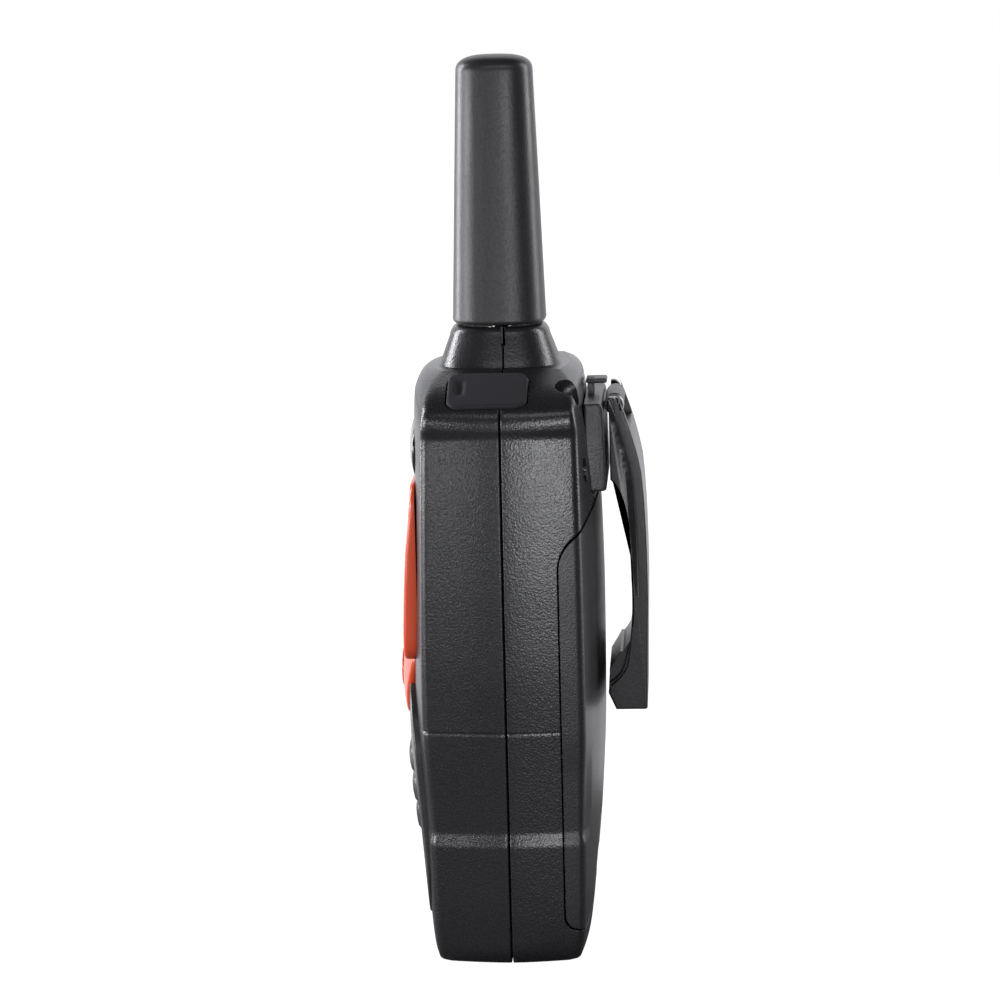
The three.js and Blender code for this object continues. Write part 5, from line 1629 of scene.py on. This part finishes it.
@dataclass
class SideKeys:
    """The talk button and the two small keys on the left side.

    Attributes:
        openings: Sizes and openings of the keys.
        proud: How far a key stands out from the side.
        lip: Width of the rim that holds a key behind the wall.
    """

    openings: Openings
    proud: float = 0.9
    lip: float = 0.9

    def build(self) -> None:
        """Builds each key: a crowned cap, with ribs across the talk button, and the lip behind the wall."""
        names = {"talk_button": "talk_key", "call_key": "call_side_key", "power_key": "power_side_key"}
        for node, name in names.items():
            width, height, z, radius = self.openings.keys[node]
            surface = FORM.flank(z)

            def face(
                u: np.ndarray, v: np.ndarray, z: float = z, h: float = height, s: float = surface
            ) -> np.ndarray:
                """A low crown, with three ribs across the talk button."""
                crown = s + self.proud - 0.25 * (2 * (v - z) / h) ** 2 - 0.15 * (u / 5) ** 2
                if h < 10:
                    return crown
                return crown - 0.3 * np.maximum(0, np.cos((v - z) * math.pi / 1.7)) * (np.abs(v - z) < 5.9)

            outline = dense(rounded_rectangle(width, height, radius, 0, z, steps=10), 0.5)
            back = min(surface, FORM.flank(z + height / 2 + self.lip)) - 2 - FORM.draft / 2 - 0.3
            cap = Plate(outline, back - 1, face, 0.5, Facing.LEFT, rings=30 if height > 10 else 8).build(name)
            lip = rounded_rectangle(width + 2 * self.lip, height + 2 * self.lip, radius, 0, z)
            carve(cap, [prism(lip, back - 1, back, Facing.LEFT)], "UNION")
            dress(cap, Finish.RUBBER, node, [node])


@dataclass
class BatteryDoor:
    """The battery door and its latch.

    Attributes:
        openings: The door's outline.
        wall: Thickness of the door.
        latch_z: Height of the latch's middle.
    """

    openings: Openings
    wall: float = 1.8
    latch_z: float = 12.2

    def build(self) -> None:
        """Builds the door as the housing's skin behind the parting line, with grip ribs, and its latch."""
        outline = self.openings.door_outline()
        zone = prism(dense(outline, 1.0), -BEYOND, BEYOND, Facing.RIGHT)
        form = HousingForm(soft_waist=9.0)
        door = loft("cell_door", [form.full_ring(z, 0.0, None, 17, 7, 9) for z in form.levels() if z < 99])
        carve(door, [zone], "INTERSECT")
        hollow = carve(FORM.solid(-self.wall), [block((-60, -5, 8.6), (60, 60, 83.8))], "INTERSECT")
        opening = rounded_rectangle(10.6, 6.8, 0.8, 0, self.latch_z + 0.8)
        ribs = [
            rod(0.32, (-8, float(FORM.back(z)) + 0.05, z), 16, Facing.RIGHT, 12)
            for z in np.arange(17.5, 22.6, 1.25)
        ]
        carve(
            door, [hollow, prism(opening, 5, 30, Facing.BACK), block((-18, 5, 82.4), (18, 14.9, 88)), *ribs]
        )
        dress(door, Finish.DOOR, "housing", ["battery_door"])
        face = float(FORM.back(self.latch_z))
        inner = face - self.wall - 2
        cap = dense(rounded_rectangle(10, 4.6, 0.6, 0, self.latch_z), 0.4)

        def grip(u: np.ndarray, v: np.ndarray) -> np.ndarray:
            """Three grooves across the slider."""
            waves = np.maximum(0, np.cos((v - self.latch_z) * math.pi / 0.65))
            return face - 0.28 - 0.35 * waves * (np.abs(u) < 4)

        slider = Plate(cap, inner + 0.5, grip, 0.25, Facing.BACK, rings=14, rim_steps=3).build("latch_slider")
        carve(slider, [block((-5.8, inner, self.latch_z - 3), (5.8, inner + 1, self.latch_z + 2.6))], "UNION")
        dress(slider, Finish.CLIP, "door_latch", ["door_latch"])


@dataclass
class Aerial:
    """The stub aerial on its collar.

    Attributes:
        base: Height of its foot.
        length: Length of the sheath.
        foot: Half depth at its foot.
        tip: Half depth at its tip.
    """

    base: float = 115.95
    length: float = 49.0
    foot: float = 8.65
    tip: float = 7.05

    def build(self) -> None:
        """Builds the sheath: a tapering soft square with a small foot radius and a low domed tip."""
        top = self.base + self.length
        shoulder = top - 2.9
        levels: list[tuple[float, float]] = []
        for i in range(6):
            turn = math.radians(90 * i / 5)
            levels.append((self.base + 0.8 * (1 - math.cos(turn)), self.foot - 0.8 * (1 - math.sin(turn))))
        for z in np.linspace(self.base + 1.5, shoulder, 34):
            share = (z - self.base) / (shoulder - self.base)
            levels.append((float(z), self.foot + (self.tip - self.foot) * share))
        for i in range(1, 15):
            turn = math.radians(90 * i / 14)
            inset_by = 2.6 * (1 - math.cos(turn)) + (self.tip - 3.4) * (i / 14) ** 3
            levels.append((shoulder + 2.9 * math.sin(turn), self.tip - inset_by))
        rings = [soft_square(r * 0.96, r, z, count=96) for z, r in levels]
        sheath = loft("aerial_cover", rings)
        carve(sheath, [rod(4.6, (0, -1.0, self.base - 1), self.length - 7, Facing.UP, 40)])
        dress(sheath, Finish.AERIAL, "housing", ["aerial_sheath"])


@dataclass
class BeltClip:
    """The clip's block on its rail, the sprung lever, its axle and its coil.

    Attributes:
        pivot: Depth and height of the axle.
        half: Half width of the lever.
        flange: Thickness of the lever's flanges.
        web: Thickness of the lever's outer plate.
        outer: Depth of the lever's outermost face.
        toe: Height of the lever's lower end.
        block_taper: How much narrower the block gets per millimetre towards the back.
        bore: Radius of the bores that the axle runs in.
        axle: Radius of the axle.
    """

    pivot: tuple[float, float] = (20.1, 101.2)
    half: float = 12.5
    flange: float = 2.0
    web: float = 1.7
    outer: float = 25.8
    toe: float = 44.7
    block_taper: float = 0.012
    bore: float = 0.98
    axle: float = 0.9

    @staticmethod
    def path(
        start: tuple[float, float], moves: Sequence[tuple[tuple[float, float], ...]], steps: int = 12
    ) -> Outline:
        """Points along lines and quadratic curves.

        Args:
            start: First point.
            moves: One point for a line, or a control point and an end for a curve.
            steps: Points per curve.

        Returns:
            The points, ends included.
        """
        points = [np.array([start], float)]
        here = np.array(start, float)
        for move in moves:
            end = np.array(move[-1], float)
            if len(move) == 2:
                t = np.linspace(0, 1, steps + 1)[1:, None]
                points.append((1 - t) ** 2 * here + 2 * t * (1 - t) * np.array(move[0], float) + t**2 * end)
            else:
                points.append(end[None])
            here = end
        return np.vstack(points)

    def outer_path(self, inward: float = 0.0) -> Outline:
        """The curve of the lever's back from its toe up to its tip, moved inwards."""
        y, z = self.pivot
        b = self.outer - inward
        return self.path(
            (b - 0.4, self.toe + 0.6),
            [
                ((b, self.toe + 21),), ((b, z - 20), (b - 0.9, z - 12)),
                ((b - 2.2, z - 5), (y + 0.6 - inward, z + 2.1))
            ],
        )

    def lever_outline(self) -> Outline:
        """The lever's outline from the side, anticlockwise in (y, z)."""
        y, z = self.pivot
        b = self.outer
        inner = self.path(
            (y - 0.2, z + 2.5),
            [
                ((y - 0.6, z + 2.4), (y - 1, z + 1.6)), ((y - 0.9, z - 13.4),),
                ((b - 3.6, z - 16.6), (b - 3.2, z - 27)),
                ((b - 2.9, self.toe + 21), (b - 3.1, self.toe + 16.4)),
                ((b - 3.6, self.toe + 13), (b - 7.4, self.toe + 7)), ((b - 7.6, self.toe + 3.1),),
                ((b - 6.2, self.toe),), ((b - 0.9, self.toe),),
                ((b - 0.4, self.toe), (b - 0.4, self.toe + 0.6))
            ],
        )
        return np.vstack([inner, self.outer_path()[1:]])

    def bevelled(self, outline: Outline, half: float, name: str, soft: float = 0.35) -> bpy.types.Object:
        """A side outline given width, with softened edges on both flanks."""
        rings = []
        for i in range(5):
            turn = math.radians(90 * i / 4)
            flat = inset(outline, soft * (1 - math.sin(turn)))
            rings.append(facing_points(flat, -half + soft * (1 - math.cos(turn)), Facing.RIGHT))
        mirrored = [ring * (-1, 1, 1) for ring in rings[::-1]]
        return loft(name, rings + mirrored)

    def build_lever(self) -> None:
        """Builds the lever: flanges, hollow, open top, flank grooves and rounded grip ribs on the toe."""
        y, z = self.pivot
        lever = self.bevelled(dense(self.lever_outline(), 0.8), self.half, "clip_lever")
        inner = self.half - self.flange
        web = self.outer - self.web
        hollow = self.path(
            (0, z + 4),
            [
                ((0, self.toe + 14),), ((web - 3.2, self.toe + 10.4),),
                ((web - 0.1, self.toe + 14), (web, self.toe + 21)), ((web, z - 20), (web - 0.9, z - 12)),
                ((web - 2.2, z - 5), (y + 0.3 - self.web, z + 4))
            ],
        )
        grooves = []
        line = self.outer_path(1.75)
        line = line[line[:, 1] > self.toe + 13]
        tangent = np.gradient(line, axis=0)
        tangent /= np.linalg.norm(tangent, axis=1, keepdims=True)
        for side in (-1, 1):
            rings = []
            for (py, pz), (ty, tz) in zip(line, tangent):
                across = np.array([0, tz, -ty])
                out = np.array([side, 0.0, 0.0])
                middle = np.array([side * self.half, py, pz])
                size = float(ease((pz - self.toe - 13) / 22))
                cut = [
                    (0.08, 0.6), (0.08, -0.55 * size), (-0.2, -0.55 * size), (-0.3 - 1.0 * size, 0.03),
                    (-0.3 - size, 0.6)
                ]
                rings.append(np.array([middle + across * a + out * b for a, b in cut])[::side])
            grooves.append(loft("groove", rings))
        steps = []
        for inner_x, share in ((self.half - 1.3, 1.0), (self.half - 2.7, 0.5)):
            ramp = self.path(
                (self.outer - 6, self.toe + 24),
                [
                    ((self.outer - 2.9 - 0.3 * (1 - share), self.toe + 24),),
                    (
                        (self.outer - 2.7, self.toe + 13.5 + 1.5 * (1 - share)),
                        (self.outer - 4.0 - 0.7 * (1 - share), self.toe + 7.9 + 1.8 * (1 - share))
                    ),
                    (
                        (self.outer - 5.0, self.toe + 6),
                        (self.outer - 7.0 - 0.3 * (1 - share), self.toe + 4.4 + (1 - share))
                    ),
                    ((self.outer - 11, self.toe + 3.9),)
                ],
            )
            steps += [
                prism(ramp[::-1], low, high, Facing.RIGHT)
                for low, high in ((-self.half - 3, -inner_x), (inner_x, self.half + 3))
            ]
        toe_ribs = [
            rod(0.5, (-30, self.outer - 7.75, self.toe + 4.0 + 1.9 * i), 60, Facing.RIGHT, 16) for i in (0, 1)
        ]
        above_ear = self.path(
            (y - 3, z + 1.75),
            [
                ((y - 0.2, z + 1.75),), ((y + 0.95, z + 1.2), (y + 1.0, z - 0.6)), ((y + 1.35, z - 0.6),),
                ((y + 0.4, z + 3.2),), ((y - 3, z + 3.2),)
            ],
        )
        steps += [prism(above_ear, -self.half - 1, self.half + 1, Facing.RIGHT)]
        carve(lever, [
            prism(hollow, -inner, inner, Facing.RIGHT),
            block((-inner, y - 5, z - 4.4), (inner, self.outer + 1, z + 8)),
            rod(self.bore, (0.7 - self.half, y, z), 2 * self.half - 1.4, Facing.RIGHT, 32),
            *grooves,
            *toe_ribs,
            *steps,
        ])
        dress(lever, Finish.CLIP, "belt_clip", ["belt_clip"])

    def build_block(self) -> None:
        """Builds the block: rounded edges, rail slot and barrel for the axle."""
        y, z = self.pivot
        low, high, floor, face = 86.0, 102.2, 14.7, 18.6
        outline = self.path(
            (floor, high),
            [
                ((floor, low + 0.6),), ((floor + 0.6, low),), ((face - 0.8, low),),
                ((face, low), (face, low + 0.8)), ((face - 0.4, high - 1.4),),
                ((face - 0.5, high), (face - 1.6, high))
            ],
        )
        block_piece = self.bevelled(dense(outline, 0.7), 15.0, "clip_block", 0.5)
        for vertex in block_piece.data.vertices:
            vertex.co.x *= 1 - self.block_taper * (vertex.co.y / MM - SEAM_Y - floor)
        lug = block((-6.4, face - 2, z - 0.9), (6.4, y, z + 0.3))
        barrel = rod(1.75, (-6.4, y, z), 12.8, Facing.RIGHT, 40, 0.2)
        tongue = prism(rounded_rectangle(4.4, 5.0, 1.4, 0, high + 0.6), 15.1, 16.3, Facing.BACK)
        lip = self.bevelled(rounded_rectangle(3.9, 0.9, 0.4, 16.75, high + 2.5), 2.6, "lip", 0.3)
        carve(block_piece, [lug, barrel, tongue, lip], "UNION")
        carve(block_piece, [
            block((-4.3, 10, 80), (4.3, 16.9, 99.5)),
            block((-6.8, 15.7, 80), (6.8, 17.4, 99.5)),
            rod(self.bore, (-30, y, z), 60, Facing.RIGHT, 32),
        ])
        dress(block_piece, Finish.BLOCK, "clip_carrier", ["clip_carrier"])

    def build(self) -> None:
        """Builds the block, the lever, the axle and the coil."""
        y, z = self.pivot
        self.build_block()
        self.build_lever()
        axle = rod(self.axle, (0.8 - self.half, y, z), 2 * self.half - 1.6, Facing.RIGHT, 32, 0.15)
        axle.name = "clip_axle"
        dress(axle, Finish.STEEL, "clip_carrier", ["clip_pin"])
        spring = coil("clip_coil", np.array([7.0, y, z]), np.array([1.0, 0, 0]), 1.5, 0.3, 4, 2.9)
        dress(spring, Finish.STEEL, "clip_carrier", ["clip_spring"])


class InnerParts:
    """The frame's own inner nodes, which keep their shapes and get their finishes."""

    FINISHES: dict[str, Finish] = {
        "housing_gasket": Finish.RUBBER, "keypad_membrane": Finish.RUBBER, "lcd_module": Finish.SCREEN,
        "backlight_tray": Finish.WHITE, "coil_core": Finish.WHITE, "microphone": Finish.STEEL,
        "speaker_cloth": Finish.CLOTH, "speaker_cone": Finish.CONE, "speaker_frame": Finish.STEEL,
        "speaker_magnet": Finish.NICKEL, "aerial_stud": Finish.NICKEL, "aerial_coil": Finish.COPPER,
        "main_board": Finish.BOARD, "side_board": Finish.BOARD, "shield_can": Finish.STEEL,
        "talk_switch": Finish.STEEL, "accessory_jack": Finish.NICKEL, "charging_socket": Finish.STEEL,
        "cell": Finish.CELL, "contact_spring": Finish.NICKEL, "contact_plate": Finish.NICKEL,
    }

    def build(self) -> None:
        """Gives each inner node its finish."""
        for name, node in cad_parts.items():
            finish = self.FINISHES.get(name) or self.FINISHES.get(name.rsplit("_", 1)[0])
            if finish is None:
                continue
            if not node.material_slots:
                node.data.materials.append(None)
            for held in node.material_slots:
                held.material = finish.material()
            LOG.info("%s: wears %s", name, finish.value.name)


# ---------------------------------------------------------------- studio


@dataclass
class Studio:
    """Floor, lights, sky and camera.

    Attributes:
        tint: Colour of the lamps' light, a little cool.
        azimuth: Camera's angle round the radio, in degrees; 90 looks along -X.
        elevation: Camera's angle above the horizon.
        roll: Lean of the radio in the picture.
        distance: Camera's distance, in millimetres.
        lens: Focal length for a 36 mm sensor.
        target: What the camera looks at, in design millimetres.
    """

    tint: ClassVar[tuple[float, float, float]] = (0.955, 0.96, 1.0)
    azimuth: float = 93.2
    elevation: float = 10.0
    roll: float = 1.35
    distance: float = 650.0
    lens: float = 125.2
    target: tuple[float, float, float] = (0.0, -1.75, 82.15)

    def camera(self) -> None:
        """Places the camera."""
        a, e, q = (math.radians(v) for v in (self.azimuth, self.elevation, -self.roll))
        back = Vector((math.sin(a) * math.cos(e), -math.cos(a) * math.cos(e), math.sin(e)))
        right = Vector((0, 0, 1)).cross(back).normalized()
        up = back.cross(right)
        right, up = right * math.cos(q) + up * math.sin(q), up * math.cos(q) - right * math.sin(q)
        data = bpy.data.cameras.new("studio_camera")
        data.lens, data.sensor_width = self.lens, 36.0
        data.clip_start, data.clip_end = 0.01, 20.0
        camera = bpy.data.objects.new("studio_camera", data)
        place = Vector(row_points(np.array(self.target)).tolist()) + back * self.distance * MM
        camera.matrix_world = Matrix.Translation(place) @ Matrix((right, up, back)).transposed().to_4x4()
        bpy.context.scene.collection.objects.link(camera)
        bpy.context.scene.camera = camera

    @staticmethod
    def lamp(
        name: str, place: Sequence[float], aim: Sequence[float], size: tuple[float, float], power: float
    ) -> None:
        """Adds a soft box.

        Args:
            name: The light's name.
            place: Where it stands, in metres.
            aim: What it points at, in metres.
            size: Width and height, in metres.
            power: Power in watts.
        """
        data = bpy.data.lights.new(name, "AREA")
        data.shape, data.size, data.size_y, data.energy = "RECTANGLE", size[0], size[1], power
        data.color = Studio.tint
        light = bpy.data.objects.new(name, data)
        light.location = place
        light.rotation_euler = (Vector(aim) - Vector(place)).to_track_quat("-Z", "Y").to_euler()
        bpy.context.scene.collection.objects.link(light)

    @staticmethod
    def sky() -> None:
        """A white studio that shows bright behind the radio and lights it more softly."""
        world = bpy.data.worlds.new("studio")
        bpy.context.scene.world = world
        world.use_nodes = True
        tree = world.node_tree
        board = NodeBoard(tree)
        seen = tree.nodes["Background"]
        seen.inputs["Color"].default_value = (1, 1, 1, 1)
        seen.inputs["Strength"].default_value = 1.0
        lit = board.add("Background", {"Color": (0.97, 0.98, 1.0, 1.0), "Strength": 0.05})
        path = board.add("LightPath").outputs["Is Camera Ray"]
        both = board.add("MixShader", {0: path, 1: lit.outputs[0], 2: seen.outputs[0]})
        tree.links.new(both.outputs[0], tree.nodes["World Output"].inputs["Surface"])

    @staticmethod
    def floor() -> None:
        """A plain pale floor under the radio."""
        side = 3000.0
        corners = np.array([[-side, -side, 0], [side, -side, 0], [side, side, 0], [-side, side, 0]], float)
        corners[:, 2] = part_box("front_housing")[0][2] / MM - 0.02
        made = mesh_object("studio_floor", corners, [(0, 1, 2, 3)])
        material, board, shader = start_material("floor_paper")
        place = board.add("TexCoord").outputs["Object"]
        cloud = board.add("TexNoise", {"Vector": place, "Scale": 9.0, "Detail": 3.0}).outputs["Fac"]
        paper = mixed(board, cloud, (0.1, 0.1, 0.1), (0.12, 0.12, 0.12))
        board.tree.links.new(paper, shader.inputs["Base Color"])
        shader.inputs["Roughness"].default_value = 0.9
        shader.inputs["Emission Color"].default_value = (1, 1, 1, 1)
        seen = board.maths("MULTIPLY", board.add("LightPath").outputs["Is Camera Ray"], 1.0)
        board.tree.links.new(seen, shader.inputs["Emission Strength"])
        made.data.materials.append(material)

    def build(self) -> None:
        """Builds the whole studio."""
        self.camera()
        self.sky()
        self.floor()
        aim = (0.0, 0.0, 0.08)
        self.lamp("low_box_back", (0.8, 0.2, 0.07), aim, (0.2, 0.12), 1.9)
        self.lamp("low_box_front", (0.76, -0.3, 0.08), aim, (0.12, 0.12), 0.6)
        self.lamp("overhead", (0.6, 0.12, 0.68), aim, (0.5, 0.24), 1.0)
        self.lamp("side_front", (-0.35, -0.82, 0.25), aim, (0.26, 1.0), 16)
        self.lamp("key_front", (0.36, -0.8, 0.12), aim, (0.5, 0.2), 5.5)
        self.lamp("side_back", (-0.3, 0.85, 0.3), aim, (0.26, 1.0), 8)
        self.lamp("backdrop", (-1.4, 0.0, 0.6), aim, (2.4, 1.2), 10)
        self.lamp("ground_glow", (-0.75, 0.0, 0.004), (-0.75, 0.0, 1.0), (1.34, 2.4), 9)
        bpy.context.scene.view_settings.view_transform = "Standard"


def main() -> None:
    """Builds the radio's fine pieces and the studio in order."""
    logging.basicConfig(level=logging.INFO, format="%(message)s")
    openings = Openings()
    cover = ShoulderCover()
    Studio().build()
    parts = [
        Housing(openings, cover), cover, FrontFace(openings), SideKeys(openings), BatteryDoor(openings),
        Aerial(), BeltClip(), InnerParts(),
    ]
    for part in parts:
        part.build()
        LOG.info("built %s", type(part).__name__)


if __name__ == "__main__":
    main()
